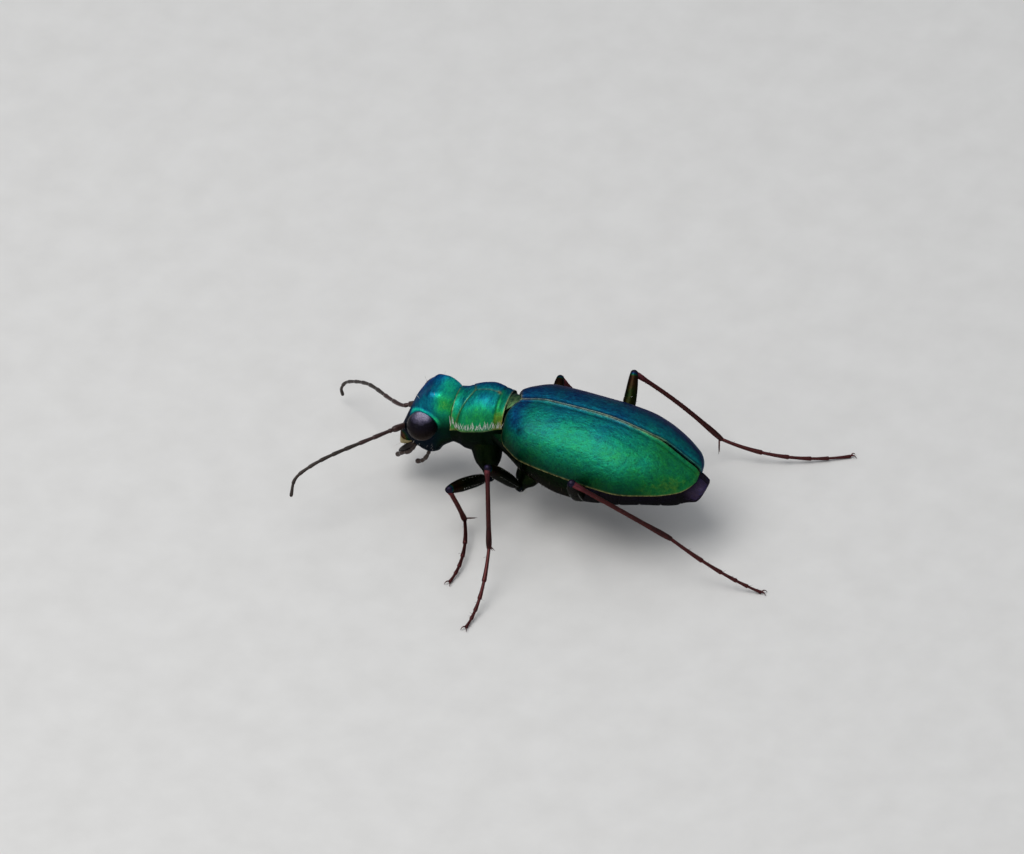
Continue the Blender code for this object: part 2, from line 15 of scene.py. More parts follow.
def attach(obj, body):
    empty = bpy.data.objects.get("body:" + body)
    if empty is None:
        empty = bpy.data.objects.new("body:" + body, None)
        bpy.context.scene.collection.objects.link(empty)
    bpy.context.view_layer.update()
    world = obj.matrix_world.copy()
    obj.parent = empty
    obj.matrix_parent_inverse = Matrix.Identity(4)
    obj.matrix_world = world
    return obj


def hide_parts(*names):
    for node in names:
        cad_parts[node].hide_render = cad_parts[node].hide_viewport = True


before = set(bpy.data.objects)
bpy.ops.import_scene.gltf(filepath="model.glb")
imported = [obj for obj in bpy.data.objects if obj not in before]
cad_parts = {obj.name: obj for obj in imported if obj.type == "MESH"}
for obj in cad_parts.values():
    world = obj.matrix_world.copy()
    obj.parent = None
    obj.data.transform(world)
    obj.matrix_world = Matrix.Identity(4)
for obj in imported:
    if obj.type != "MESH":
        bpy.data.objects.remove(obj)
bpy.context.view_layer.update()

MM = 0.001

# The photograph: its size, its scale and where it shows the front end of the seam
IMAGE_WIDTH = 1024
IMAGE_HEIGHT = 854
PIXELS_PER_MM = 24.6
SEAM_PIXEL = (521, 399)
CAMERA_TURN = math.radians(22)
CAMERA_HEIGHT = math.radians(39)
LENS = 900
SENSOR = 36

SEAM = Vector((-0.66, -1.36, 5.1))
SEAM_HEIGHT = SEAM.z

# Wing covers: fraction of the length, then a size
COVER_LENGTH = 7.95
COVER_PITCH = math.radians(7)
COVER_ROUNDNESS = [(0, 2.45), (0.2, 2.25), (0.45, 2.05), (1, 2.0)]
COVER_HALF_WIDTH = [(0, 0.92), (0.012, 1.22), (0.04, 1.62), (0.12, 2.13), (0.35, 2.32), (0.62, 2.42),
                    (0.82, 1.94), (0.94, 1.37), (0.975, 1.02), (0.994, 0.64), (1.002, 0.3)]
COVER_RISE = [(0, 1.3), (0.15, 1.72), (0.45, 1.89), (0.75, 1.49), (0.93, 0.72), (0.985, 0.45),
              (1.002, 0.28)]
COVER_EDGE_LIFT = 0.08
COVER_EDGE_CURL = 0.5
COVER_SKIN = 0.14
COVER_SHOULDER = 0.33
COVER_SHOULDER_END = 0.14
COVER_END = 1.002
COVER_STATIONS = 150
COVER_STEPS = 90
SEAM_BEAD = 0.07
SEAM_GAP = 0.012
SEAM_OPENING = 0.08
# The puncture that is painted dark, a painted shadow: millimetres along the cover and out from the seam
COVER_PIT = (0.7, 1.6)

# Hind body
BELLY_DEPTH = [(-0.1, 0.95), (0, 1.1), (0.1, 1.5), (0.2, 1.85), (0.32, 2.12), (0.45, 2.08), (0.6, 1.72),
               (0.8, 1.38), (0.93, 1.36), (1, 1.2), (1.05, 1.05)]
BELLY_FRONT = [(-0.1, 1.0), (-0.03, 1.3), (0.05, 1.6), (0.12, 1.9)]
BELLY_INSET = 0.28
BELLY_ROUNDNESS = 2.3
TAIL_HALF_WIDTH = 0.85
TAIL_END = 1.035
TAIL_BEND = 0.86
TAIL_DROP = 0.36
TAIL_TAPER = 0.3
TAIL_SLANT = 0.2
STERNITES = (0.46, 0.56, 0.66, 0.76, 0.86, 0.95)
BELLY_SIDES = 120

# Prothorax, from its back edge to its front edge
PRONOTUM_LENGTH = 2.22
PRONOTUM_START = -0.49
PRONOTUM_YAW = math.radians(4)
PRONOTUM_HALF_WIDTH = [(0, 1.04), (0.1, 1.06), (0.4, 1.2), (0.75, 1.18), (0.88, 1.05), (1, 1.06)]
PRONOTUM_TOP = [(0, -0.06), (0.06, -0.03), (0.14, 0.06), (0.35, 0.15), (0.6, 0.03), (0.78, -0.14),
                (0.84, -0.22), (1, -0.31)]
PRONOTUM_EDGE = [(0, -0.9), (0.35, -1.12), (1, -1.5)]
PRONOTUM_BELLY = [(0, -2.45), (0.35, -2.95), (0.7, -2.9), (1, -2.65)]
BACK_GROOVE = 0.15
FRONT_GROOVE = 0.66
FRONT_GROOVE_SWEEP = 0.2
PRONOTUM_BACK_RIM = [(0.06, 0.7), (0.03, 0.92), (0.008, 0.97)]
PRONOTUM_FRONT_RIM = [(0.995, 0.97), (0.97, 0.93), (0.9, 0.8)]
PRONOTUM_SIDES = 160

# Head, ring by ring: its top and its bottom as (forward, up), its half width and the brow ridges' height
HEAD_NECK = (0.15, -2.98, 3.55)
HEAD_ROLL = math.radians(4)
HEAD_SECTIONS = [
    ((-0.45, 1.03), (-0.45, -1.05), 0.8, 0.02),
    ((-0.1, 1.33), (-0.1, -1.25), 0.93, 0.09),
    ((0.3, 1.5), (0.25, -1.55), 0.99, 0.1),
    ((0.66, 1.5), (0.45, -1.85), 1.03, 0.09),
    ((1.0, 1.25), (0.75, -1.97), 1.03, 0.06),
    ((1.32, 0.85), (1.02, -1.88), 1.0, 0.04),
    ((1.6, 0.35), (1.24, -1.7), 0.93, 0.02),
    ((1.84, -0.28), (1.42, -1.55), 0.8, 0.0),
    ((2.02, -0.78), (1.52, -1.46), 0.68, 0.0),
    ((2.11, -1.05), (1.5, -1.56), 0.62, 0.0),
    ((2.16, -1.35), (1.5, -1.62), 0.55, 0.0),
    ((2.1, -1.52), (1.6, -1.62), 0.4, 0.0),
]
HEAD_TURN = np.array(Matrix.Rotation(PRONOTUM_YAW, 3, "Z") @ Matrix.Rotation(HEAD_ROLL, 3, "Y"))
EYE_RADIUS = 0.62
EYE_PLACE = (1.06, 0.93, 0.03)
EYE_RINGS = 60
EYE_SIDES = 84
MANDIBLE = [(0.46, 1.5, -1.62), (0.56, 1.85, -1.88), (0.44, 2.08, -2.18), (0.22, 2.16, -2.4)]
OUTER_PALP = [(0.55, 1.4, -1.6), (0.66, 1.62, -1.92), (0.64, 1.95, -2.12), (0.5, 2.22, -2.4)]
INNER_PALP = [(0.6, 0.78, -1.68), (0.66, 0.92, -2.05), (0.66, 1.1, -2.3), (0.6, 1.34, -2.46)]

# Legs: hip, knee, ankle, a point that the tarsus bends towards, and the toe
LEGS = {
    "front_left": [(1.05, -0.95, 1.5), (3.8, -1.63, 2.72), (2.85, -1.32, 0.52),
                   (4.9, -0.3, 0.42), (6.26, -0.59, 0.1)],
    "middle_left": [(1.3, 0.5, 1.6), (3.75, 0.04, 4.32), (5.45, 0.8, 1.66),
                    (7.3, 1.3, 0.3), (8.7, 1.11, 0.1)],
    "hind_left": [(1.05, 3.1, 1.75), (3.96, 3.8, 4.83), (2.62, 7.6, 2.08),
                  (2.5, 9.7, 0.7), (2.16, 11.38, 0.1)],
    "front_right": [(-1.05, -0.95, 1.5), (-3.3, -2.5, 1.7), (-4.0, -0.5, 0.52),
                    (-5.0, 0.5, 0.4), (-6.2, 1.2, 0.1)],
    "middle_right": [(-1.3, 0.6, 1.72), (-4.54, -0.1, 2.76), (-4.8, 1.9, 0.62),
                     (-5.1, 3.2, 0.3), (-5.6, 4.5, 0.1)],
    "hind_right": [(-1.05, 3.2, 1.6), (-4.1, 3.32, 4.4), (-5.38, 6.65, 0.98),
                   (-5.6, 9.2, 0.2), (-7.36, 11.55, 0.1)],
}
FEMUR_BOW = {"hind_right": (0, 0.24, 0.05), "hind_left": (0.06, 0, -0.14)}
TIBIA_BOW = {"hind_right": (0, 0.02, 0.16), "front_left": (0, 0.06, -0.06)}
SPUR_WAYS = {"front_left": (-0.2, 0.46, 0), "middle_left": (-0.02, 0.2, -0.26),
             "hind_left": (0, 0.3, -0.2), "hind_right": (0.38, 0.15, -0.5)}
COXA_ROOT = {"front": (0.5, -1.3, 2.85), "middle": (0.95, 0.8, 2.25), "hind": (0.7, 2.9, 2.0)}
COXA_RADIUS = {"front": 0.7, "middle": 0.58, "hind": 0.62}
COXA_END = {"front": 0.2, "middle": 0.2, "hind": 0.28}
FEMUR_SHAPE = [(0, 0.13), (0.06, 0.17), (0.12, 0.15), (0.2, 0.22), (0.4, 0.28), (0.65, 0.29),
               (0.86, 0.24), (0.96, 0.195), (1, 0.165)]
TIBIA_SHAPE = [(0, 0.1), (0.05, 0.128), (0.16, 0.092), (0.7, 0.097), (0.93, 0.122), (1, 0.1)]
TARSOMERE_SHARES = (0.33, 0.21, 0.17, 0.13, 0.16)
TARSUS_RADIUS = 0.1
SPUR_LENGTH = 0.45
CLAW_LENGTH = 0.22
CLAW = [(0, 0, 0.01), (0.45, 0.06, 0.07), (0.8, 0.11, 0.03), (1, 0.13, -0.045)]

# Antennae, from root to tip, and the lengths of their joints
ANTENNAE = {
    "left": [(0.6, -4.62, 2.84), (0.75, -4.76, 2.86), (1.36, -5.11, 2.95), (2.29, -5.69, 3.0),
             (3.68, -6.71, 2.95), (4.52, -7.38, 2.75), (5.08, -7.85, 2.35), (5.53, -7.85, 1.8)],
    "right": [(-0.42, -4.2, 3.12), (-0.38, -4.6, 3.08), (-0.4, -4.96, 3.03), (-0.4, -5.38, 2.85),
              (-0.87, -6.09, 2.6), (-2, -7.52, 2.1), (-2.7, -8.7, 1.35), (-2.8, -9.05, 0.85),
              (-2.8, -9, 0.5)],
}
ANTENNA_JOINTS = (1.15, 0.35, 1.1, 0.95, 0.95, 0.85, 0.8, 0.75, 0.7, 0.65, 0.7)

# Hairs: how many there are, and the place and way of the single ones on the face
PRONOTUM_HAIRS = 52
BELLY_HAIRS = 36
COXA_HAIRS = 12
CHEEK_HAIRS = 10
FACE_HAIRS = [((0.5, 1.2, 0.97), (0.3, -0.5, 1)), ((0.6, 0.5, 1.35), (0.4, 0.1, 1)),
              ((0.3, 2.15, -1.55), (0.1, -1, -0.3)), ((0.5, 2.1, -1.75), (0.4, -1, -0.5))]

# Colour ramps as (place, colour); the shining cuticle's runs from purple through blue and green to copper
STRUCTURAL = [
    (0.0, (0.06, 0.042, 0.08)), (0.14, (0.008, 0.025, 0.14)), (0.3, (0.003, 0.085, 0.24)),
    (0.44, (0.004, 0.19, 0.25)), (0.58, (0.006, 0.29, 0.17)), (0.7, (0.016, 0.31, 0.075)),
    (0.82, (0.14, 0.32, 0.035)), (0.91, (0.4, 0.27, 0.045)), (1.0, (0.4, 0.13, 0.045)),
]
# The legs' ramp turns pink towards its top, which paints the highlight just below the knees.
LEG_COLOURS = [(0.0, (0.025, 0.014, 0.014)), (0.3, (0.082, 0.022, 0.021)), (0.6, (0.08, 0.02, 0.024)),
               (0.85, (0.19, 0.045, 0.055)), (1.0, (0.26, 0.08, 0.1))]
FEELER_COLOURS = [(0.0, (0.01, 0.007, 0.005)), (0.5, (0.035, 0.02, 0.013)), (0.8, (0.03, 0.012, 0.01)),
                  (1.0, (0.05, 0.018, 0.015))]
# The eyes' ramp turns lavender-grey at its top: a painted sky reflection.
EYE_COLOURS = [(0.0, (0.09, 0.035, 0.012)), (0.12, (0.03, 0.012, 0.005)), (0.4, (0.01, 0.005, 0.003)),
               (0.8, (0.008, 0.007, 0.013)), (0.9, (0.085, 0.075, 0.125)), (1.0, (0.46, 0.4, 0.54))]
LIP_COLOURS = [(0.1, (0.02, 0.01, 0.008)), (0.35, (0.08, 0.04, 0.02)), (0.55, (0.3, 0.24, 0.11)),
               (1.0, (0.5, 0.42, 0.22))]
HAIR_COLOURS = [(0.1, (0.03, 0.018, 0.012)), (0.5, (0.3, 0.24, 0.18)), (0.9, (0.95, 0.94, 0.9))]
FLOOR_COLOURS = [(0.3, (0.7, 0.68, 0.65)), (0.7, (0.74, 0.72, 0.69))]
GOLD_DARK = (0.13, 0.09, 0.025)
GOLD_LIGHT = (0.44, 0.4, 0.16)
EDGE_TINT = (0.1, 0.12, 0.4, 1)
BODY_EDGE_TINT = (0.14, 0.11, 0.1, 1)
LEG_EDGE_TINT = (0.4, 0.22, 0.2, 1)

# Patterns of the shining cuticle: the scale and detail of its noises, and how far they move the tint
BROAD_CLOUDS = (0.9, 3)
LEATHER = (3.2, 4)
FINE_CLOUDS = (9, 5)
GRAINS = (22, 3)
PIT_SCALE = 5
MOTTLE = 0.05

# The floor's half side in metres, and the lights: place and side in millimetres, power in watts, colour
FLOOR_HALF = 0.6
LIGHTS = {
    "key_light": ((60, -50, 190), 150, 0.25, (1, 1, 1)),
    "low_light": ((150, -90, 70), 70, 0.02, (1, 0.97, 0.92)),
}
LIGHT_AIM = Vector((0, 0, 2))

# Light of the even studio sky, at its rim and overhead
HORIZON_COLOUR = (0.13, 0.14, 0.16)
ZENITH_COLOUR = (0.5, 0.53, 0.57)

random.seed(7)


def smooth_value(knots, t):
    """A smooth curve through (place, value) knots that never overshoots; t may be an array."""
    places = np.array([k[0] for k in knots], float)
    values = np.array([k[1] for k in knots], float)
    widths = np.diff(places)
    slopes = np.diff(values) / widths
    before, after = slopes[:-1], slopes[1:]
    same = before * after > 0
    inner = np.where(same, 2 * before * after / np.where(same, before + after, 1), 0)
    tangents = np.concatenate([slopes[:1], inner, slopes[-1:]])
    t = np.clip(t, places[0], places[-1])
    i = np.clip(np.searchsorted(places, t, side="right") - 1, 0, len(widths) - 1)
    u = (t - places[i]) / widths[i]
    start = (1 + 2 * u) * (1 - u) ** 2 * values[i] + u * (1 - u) ** 2 * widths[i] * tangents[i]
    end = u * u * (3 - 2 * u) * values[i + 1] - u * u * (1 - u) * widths[i] * tangents[i + 1]
    return start + end


def at(knots, t):
    """The value of a smooth curve through knots at one place."""
    return float(smooth_value(knots, t))


def power(value, exponent):
    """A power that keeps the sign."""
    return np.sign(value) * np.abs(value) ** exponent


def circle(count, span=2 * math.pi):
    """Even angles from zero up to the span, which is left out."""
    return np.linspace(0, span, count, endpoint=False)


def oval(width, height, roundness, turns):
    """Points at some angles of an oval; a roundness of 2 is an ellipse and more is nearer to a box."""
    return width * power(np.cos(turns), 2 / roundness), height * power(np.sin(turns), 2 / roundness)


def bell(distance, width):
    """A smooth bump of height one."""
    return np.exp(-(distance / width) ** 2)


def fade(value, low, high):
    """Zero below low, one above high and smooth between."""
    u = np.clip((value - low) / (high - low), 0, 1)
    return u * u * (3 - 2 * u)


def smooth_path(points, per_span):
    """A smooth line through points, as a Catmull-Rom curve."""
    points = [Vector(p) for p in points]
    padded = [2 * points[0] - points[1]] + points + [2 * points[-1] - points[-2]]
    path = []
    for a, b, c, d in zip(padded, padded[1:], padded[2:], padded[3:]):
        for step in range(per_span):
            u = step / per_span
            path.append(0.5 * (2 * b + (c - a) * u + (2 * a - 5 * b + 4 * c - d) * u * u
                               + (3 * b - a - 3 * c + d) * u ** 3))
    path.append(points[-1])
    return path


def path_length(path):
    """The length of a path."""
    return sum((b - a).length for a, b in zip(path, path[1:]))


def cut_path(path, start, end):
    """The stretch of a path between two lengths along it, in even steps."""
    points = np.array([p[:] for p in path])
    along = np.concatenate([[0], np.cumsum(np.linalg.norm(np.diff(points, axis=0), axis=1))])
    places = np.linspace(start, end, 9)
    return [Vector([np.interp(s, along, points[:, k]) for k in range(3)]) for s in places]


def add_object(name, data):
    """An object in the scene."""
    made = bpy.data.objects.new(name, data)
    bpy.context.scene.collection.objects.link(made)
    return made


class Piece:
    """Closed surfaces and their paint values, gathered into one object."""

    def __init__(self):
        self.points = []
        self.faces = []
        self.paint = {"tint": [], "shade": [], "trim": []}
        self.patch = []

    def add(self, points, faces, tint=0.5, shade=1.0, trim=0.0, patch=None):
        """Add a closed surface; the paint values are numbers or one for each point."""
        points = np.asarray(points, float)
        first = sum(len(p) for p in self.points)
        self.points.append(points)
        self.faces += [[first + i for i in face] for face in faces]
        count = len(points)
        for store, value in zip(self.paint.values(), (tint, shade, trim)):
            store.append(np.broadcast_to(np.asarray(value, float), (count,)))
        if patch is not None:
            self.patch += [patch + np.array((0.0015, 0.0015)) * (k % 3) / 2 for k in range(count)]

    def finish(self, name, material, slot, nodes=()):
        """Make the object, which rides on the model and stands for some of its nodes."""
        points = (np.concatenate(self.points) + np.array((SEAM.x, SEAM.y, 0))) * MM
        mesh = bpy.data.meshes.new(name)
        mesh.from_pydata(points.tolist(), [], self.faces)
        mesh.shade_smooth()
        for label, values in self.paint.items():
            layer = mesh.attributes.new(label, "FLOAT", "POINT")
            layer.data.foreach_set("value", np.concatenate(values).astype(np.float32))
        if self.patch:
            unwrap = mesh.uv_layers.new(name="OFBake")
            corners = np.zeros(len(mesh.loops), np.int32)
            mesh.loops.foreach_get("vertex_index", corners)
            unwrap.data.foreach_set("uv", np.array(self.patch)[corners].astype(np.float32).ravel())
        mesh.materials.append(material)
        made = add_object(name, mesh)
        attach(made, "root")
        if nodes:
            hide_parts(*nodes)


def grid_faces(rows, columns):
    """Quads between rings of points, each ring closed, with a point at each end."""
    faces = []
    for r in range(rows - 1):
        for c in range(columns):
            d = (c + 1) % columns
            faces.append((r * columns + c, r * columns + d, (r + 1) * columns + d, (r + 1) * columns + c))
    start, end = rows * columns, rows * columns + 1
    last = (rows - 1) * columns
    for c in range(columns):
        d = (c + 1) % columns
        faces.append((d, c, start))
        faces.append((last + c, last + d, end))
    return faces


def close_rings(rings):
    """Points and faces of a closed body through rings, as one list of points."""
    rings = np.asarray(rings, float)
    rows, columns = rings.shape[:2]
    ends = [rings[0].mean(0), rings[-1].mean(0)]
    points = np.concatenate([rings.reshape(-1, 3), ends])
    middle = rings[rows // 2]
    normal = np.cross(middle[1] - middle[0], rings[min(rows // 2 + 1, rows - 1)][0] - middle[0])
    faces = grid_faces(rows, columns)
    if np.dot(normal, middle[0] - middle.mean(0)) < 0:
        faces = [face[::-1] for face in faces]
    return points, faces


def spread(values):
    """Paint values of rings, with the two end points' values added."""
    values = np.asarray(values, float)
    return np.concatenate([values.reshape(-1), [values[0].mean(), values[-1].mean()]])


def tube(piece, path, radii, sides=12, rounded=True, flatten=1.0, **paint):
    """A round limb along a path with rounded ends; paint values may be one for each path point."""
    path = [Vector(p) for p in path]
    radii = [float(r) for r in radii]
    steps = {k: list(v) for k, v in paint.items() if k != "patch" and hasattr(v, "__len__")}
    if rounded:
        head, tail = (path[1] - path[0]).normalized(), (path[-1] - path[-2]).normalized()
        first, last = path[0], path[-1]
        big, small = radii[0], radii[-1]
        turns = [math.radians(a) for a in (28, 55, 78)]
        path = ([first - head * big * 0.8 * math.sin(a) for a in turns[::-1]] + path
                + [last + tail * small * 0.8 * math.sin(a) for a in turns])
        radii = [big * math.cos(a) for a in turns[::-1]] + radii + [small * math.cos(a) for a in turns]
        steps = {k: [v[0]] * 3 + v + [v[-1]] * 3 for k, v in steps.items()}
    across = (path[1] - path[0]).orthogonal().normalized()
    rings = []
    for i, (point, radius) in enumerate(zip(path, radii)):
        tangent = (path[min(i + 1, len(path) - 1)] - path[max(i - 1, 0)]).normalized()
        across = (across - across.dot(tangent) * tangent).normalized()
        other = tangent.cross(across)
        rings.append([point + radius * (math.cos(a) * across + flatten * math.sin(a) * other)
                      for a in np.linspace(0, 2 * math.pi, sides, endpoint=False)])
    points, faces = close_rings(rings)
    values = dict(paint)
    for key, value in steps.items():
        values[key] = spread(np.repeat(np.array(value)[:, None], sides, axis=1))
    piece.add(points, faces, **values)


def hair(piece, root, direction, length, radius=0.012, droop=0.25, **paint):
    """One bristle: a thin curved cone whose patch lies at its root's place."""
    root = Vector(root)
    direction = Vector(direction).normalized()
    bend = Vector((0, 0, -1)) * droop
    path = [root + direction * length * u + bend * length * u * u for u in (-0.06, 0.3, 0.65, 1)]
    around = math.atan2(root.x, root.z - 3.4) / (2 * math.pi) + 0.5
    patch = np.array((around, min(max((root.y + 9.5) / 21.5, 0), 0.99)))
    tube(piece, path, [radius, 0.85 * radius, 0.55 * radius, 0.12 * radius], 4, False, patch=patch, **paint)


def cover_point(x, t, z):
    """Points of the wing covers' own frame, set at its pitch."""
    c, s = math.cos(-COVER_PITCH), math.sin(-COVER_PITCH)
    pivot = COVER_RISE[0][1]
    y = t * COVER_LENGTH
    return np.stack([x + 0 * y, c * y - s * (z - pivot), SEAM_HEIGHT + s * y + c * (z - pivot)], -1)


def cover_edge(t):
    """Height of the covers' side edge in their own frame."""
    return COVER_EDGE_LIFT * t + COVER_EDGE_CURL * t * t


def shoulder(t, x):
    """How far the front edge of a cover reaches forward beside the scutellum."""
    near = np.clip(1 - t / COVER_SHOULDER_END, 0, 1)
    bow = np.clip(x / 0.8, 0, 1) * np.clip((2.3 - x) / 0.7, 0, 1)
    return COVER_SHOULDER / COVER_LENGTH * near * bow


def cover_stations():
    """Places along a cover, closer at both ends."""
    even = np.linspace(0, 1, COVER_STATIONS)
    return COVER_END * (0.35 * (0.5 - 0.5 * np.cos(math.pi * even)) + 0.65 * even)


def elytron_skin(piece, side):
    """One wing cover: a thin arched shell with a bead along the seam and the side edge."""
    outer, inner = [], []
    for t in cover_stations():
        width, rise, roundness = at(COVER_HALF_WIDTH, t), at(COVER_RISE, t), at(COVER_ROUNDNESS, t)
        skin = min(COVER_SKIN, 0.4 * width, 0.4 * rise)
        open_seam = SEAM_GAP + SEAM_OPENING * fade(t, 0.68, 0.86)
        for rim, rows in ((0, outer), (skin, inner)):
            last = math.acos(min(open_seam / (width - rim), 0.95) ** (roundness / 2))
            x, z = oval(width - rim, rise - rim, roundness, np.linspace(0, last, COVER_STEPS))
            if rim == 0:
                z = z + 0.02 * bell(x - open_seam, SEAM_BEAD) - 0.035 * bell(x - open_seam - 0.16, 0.09)
                x = x + 0.03 * bell(z, 0.07)
            rows.append(np.stack([x, np.full(COVER_STEPS, t), z], -1))
    rings = np.concatenate([outer, np.array(inner)[:, ::-1]], axis=1)
    x, t, z = rings[..., 0], rings[..., 1], rings[..., 2]
    tint, shade, trim = cover_paint(side, x, t, z)
    points = cover_point(side * x, t - shoulder(t, x), cover_edge(t) + z)
    rows, columns = x.shape
    faces = grid_faces(rows, columns)[:(rows - 1) * columns]
    for row in (0, rows - 1):
        base = row * columns
        for k in range(COVER_STEPS - 1):
            quad = (base + k, base + k + 1, base + columns - 2 - k, base + columns - 1 - k)
            faces.append(quad if row else quad[::-1])
    if side > 0:
        faces = [face[::-1] for face in faces]
    piece.add(points.reshape(-1, 3), faces, tint.ravel(), shade.ravel(), trim.ravel())


def cover_paint(side, x, t, z):
    """Colours of a wing cover: bluer in front and by the seam, greener low and behind; painted shade low on
    the side, near the front and at one puncture; on the right a painted blue sheen and painted shade along
    the outer side.
    """
    low = 1 - fade(z, 0.2, 1.2)
    tint = 0.59 + 0.05 * low + 0.07 * fade(t, 0.45, 1.0)
    tint = tint - 0.13 * (1 - fade(x, 0.2, 1.7)) * (1 - fade(t, 0.35, 0.9))
    tint = tint - (0.24 if side > 0 else 0.06) * bell(np.hypot((t - 0.05) * 8, z - 1.15), 0.35)
    # Painted shade: darker low on the side, less so towards the tip.
    shade = 0.84 - 0.66 * (1 - fade(z, 0.0, 1.2)) * (1 - 0.85 * fade(t, 0.65, 1))
    # Painted shade: darker near the front, away from the seam.
    shade = shade * (1 - 0.3 * bell(t - 0.1, 0.1) * fade(x, 0.5, 1.5))
    # Painted shade: a dark spot at one puncture.
    shade = shade * (1 - 0.8 * bell(np.hypot(t * COVER_LENGTH - COVER_PIT[0], x - COVER_PIT[1]), 0.065))
    if side < 0:
        # The right cover is painted bluer, a painted sheen, and darker along its outer side, painted shade.
        across = x / smooth_value(COVER_HALF_WIDTH, t)
        tint = tint - 0.1 - 0.05 * fade(across, 0.12, 0.5) - 0.07 * fade(t, 0.5, 1)
        tint = tint - 0.2 * bell(across - 0.68, 0.12)
        shade = shade * (1 - 0.5 * fade(across, 0.25, 0.66) * (1 - fade(across, 0.72, 0.95)))
    seam = 0.5 * bell(x - 0.025, 0.035 + 0.02 * fade(t, 0.3, 0.6)) + bell(z, 0.035) * fade(x, 0.5, 0.9)
    front = bell(t - 0.002, 0.006)
    return tint, shade, np.clip(seam + 0.5 * front, 0, 1)


def belly_ring(t):
    """A section of the hind body, below the covers' edge and up under their arch."""
    covered = min(max(t, 0), 1)
    width, roundness = at(COVER_HALF_WIDTH, covered), at(COVER_ROUNDNESS, covered)
    lower = at(BELLY_FRONT, t) if t < BELLY_FRONT[-1][0] else width - BELLY_INSET
    lower = max(lower, TAIL_HALF_WIDTH)
    front = 1 - fade(t, 0, 0.08)
    upper = max(min(width - 0.35 + 0.13 * front, lower - 0.02), 0.3)
    height = max(at(COVER_RISE, covered) - 0.45 + 0.2 * front, 0.02)
    below = oval(lower, -at(BELLY_DEPTH, t), BELLY_ROUNDNESS, circle(BELLY_SIDES // 2, math.pi))
    above = oval(upper, height, roundness, math.pi - circle(BELLY_SIDES // 2, math.pi))
    x, z = np.concatenate([below, above], axis=1)
    groove = 0.035 * sum(bell(t - place, 0.005) for place in STERNITES)
    tail = max((t - TAIL_BEND) / (TAIL_END - TAIL_BEND), 0)
    shrink = (1 - groove * (z < 0)) * (1 - TAIL_TAPER * tail ** 2)
    lift = cover_edge(covered) - 0.05 - TAIL_DROP * tail ** 1.5
    points = cover_point(x * shrink, np.full(BELLY_SIDES, t), lift + z * shrink)
    points[:, 1] += TAIL_SLANT * tail ** 2 * np.minimum(z, 0)
    return points


def hind_skin(piece):
    """The hind body, with the belly's plates parted by grooves and a rounded end."""
    rings = [belly_ring(t) for t in np.linspace(BELLY_DEPTH[0][0], TAIL_END, 230)]
    last, end = rings[-1], rings[-1].mean(0)
    for share, shift in ((0.96, 0.04), (0.86, 0.08), (0.68, 0.12), (0.4, 0.14)):
        rings.append(end + (last - end) * share + np.array((0, shift, 0)))
    points, faces = close_rings(rings)
    tail = fade(points[:, 1], 7.3, 8.1)
    side = fade(points[:, 2], 2.2, 3.4)
    behind = fade(points[:, 1], 2.6, 3.6)
    painted_tail_highlight = fade(points[:, 2], 1.9, 2.7)
    tint = (0.92 - 0.22 * side) * (1 - behind)
    # The tail end is painted lighter, and lighter still towards its top: a painted highlight.
    shade = 0.05 + 0.1 * behind + (0.35 + 0.75 * painted_tail_highlight) * tail - 0.04 * bell(behind - 0.5, 0.3)
    piece.add(points, faces, tint, shade, 0)


def hip_root(name):
    """Where a leg's coxa starts inside the body."""
    kind, hand = name.split("_")
    x, y, z = COXA_ROOT[kind]
    return Vector((-x if hand == "right" else x, y, z))


def coxae(piece, kind):
    """The cones that carry one pair of legs."""
    wide, end = COXA_RADIUS[kind], COXA_END[kind]
    shape = [(0, wide), (0.5, 0.62 * wide + 0.5 * end), (0.85, 1.2 * end), (1, end)]
    share = np.linspace(0, 1, 10)
    for name, points in LEGS.items():
        if name.startswith(kind):
            path = [hip_root(name).lerp(Vector(points[0]), u) for u in share]
            tube(piece, path, smooth_value(shape, share), 28, tint=0.8, shade=0.035)


def prothorax_point(x, t, z):
    """Points of the prothorax, from its back edge at t = 0 to its front edge at t = 1."""
    c, s = math.cos(PRONOTUM_YAW), math.sin(PRONOTUM_YAW)
    y = -t * PRONOTUM_LENGTH
    return np.stack([c * x - s * y, PRONOTUM_START + s * x + c * y, SEAM_HEIGHT + z], -1)


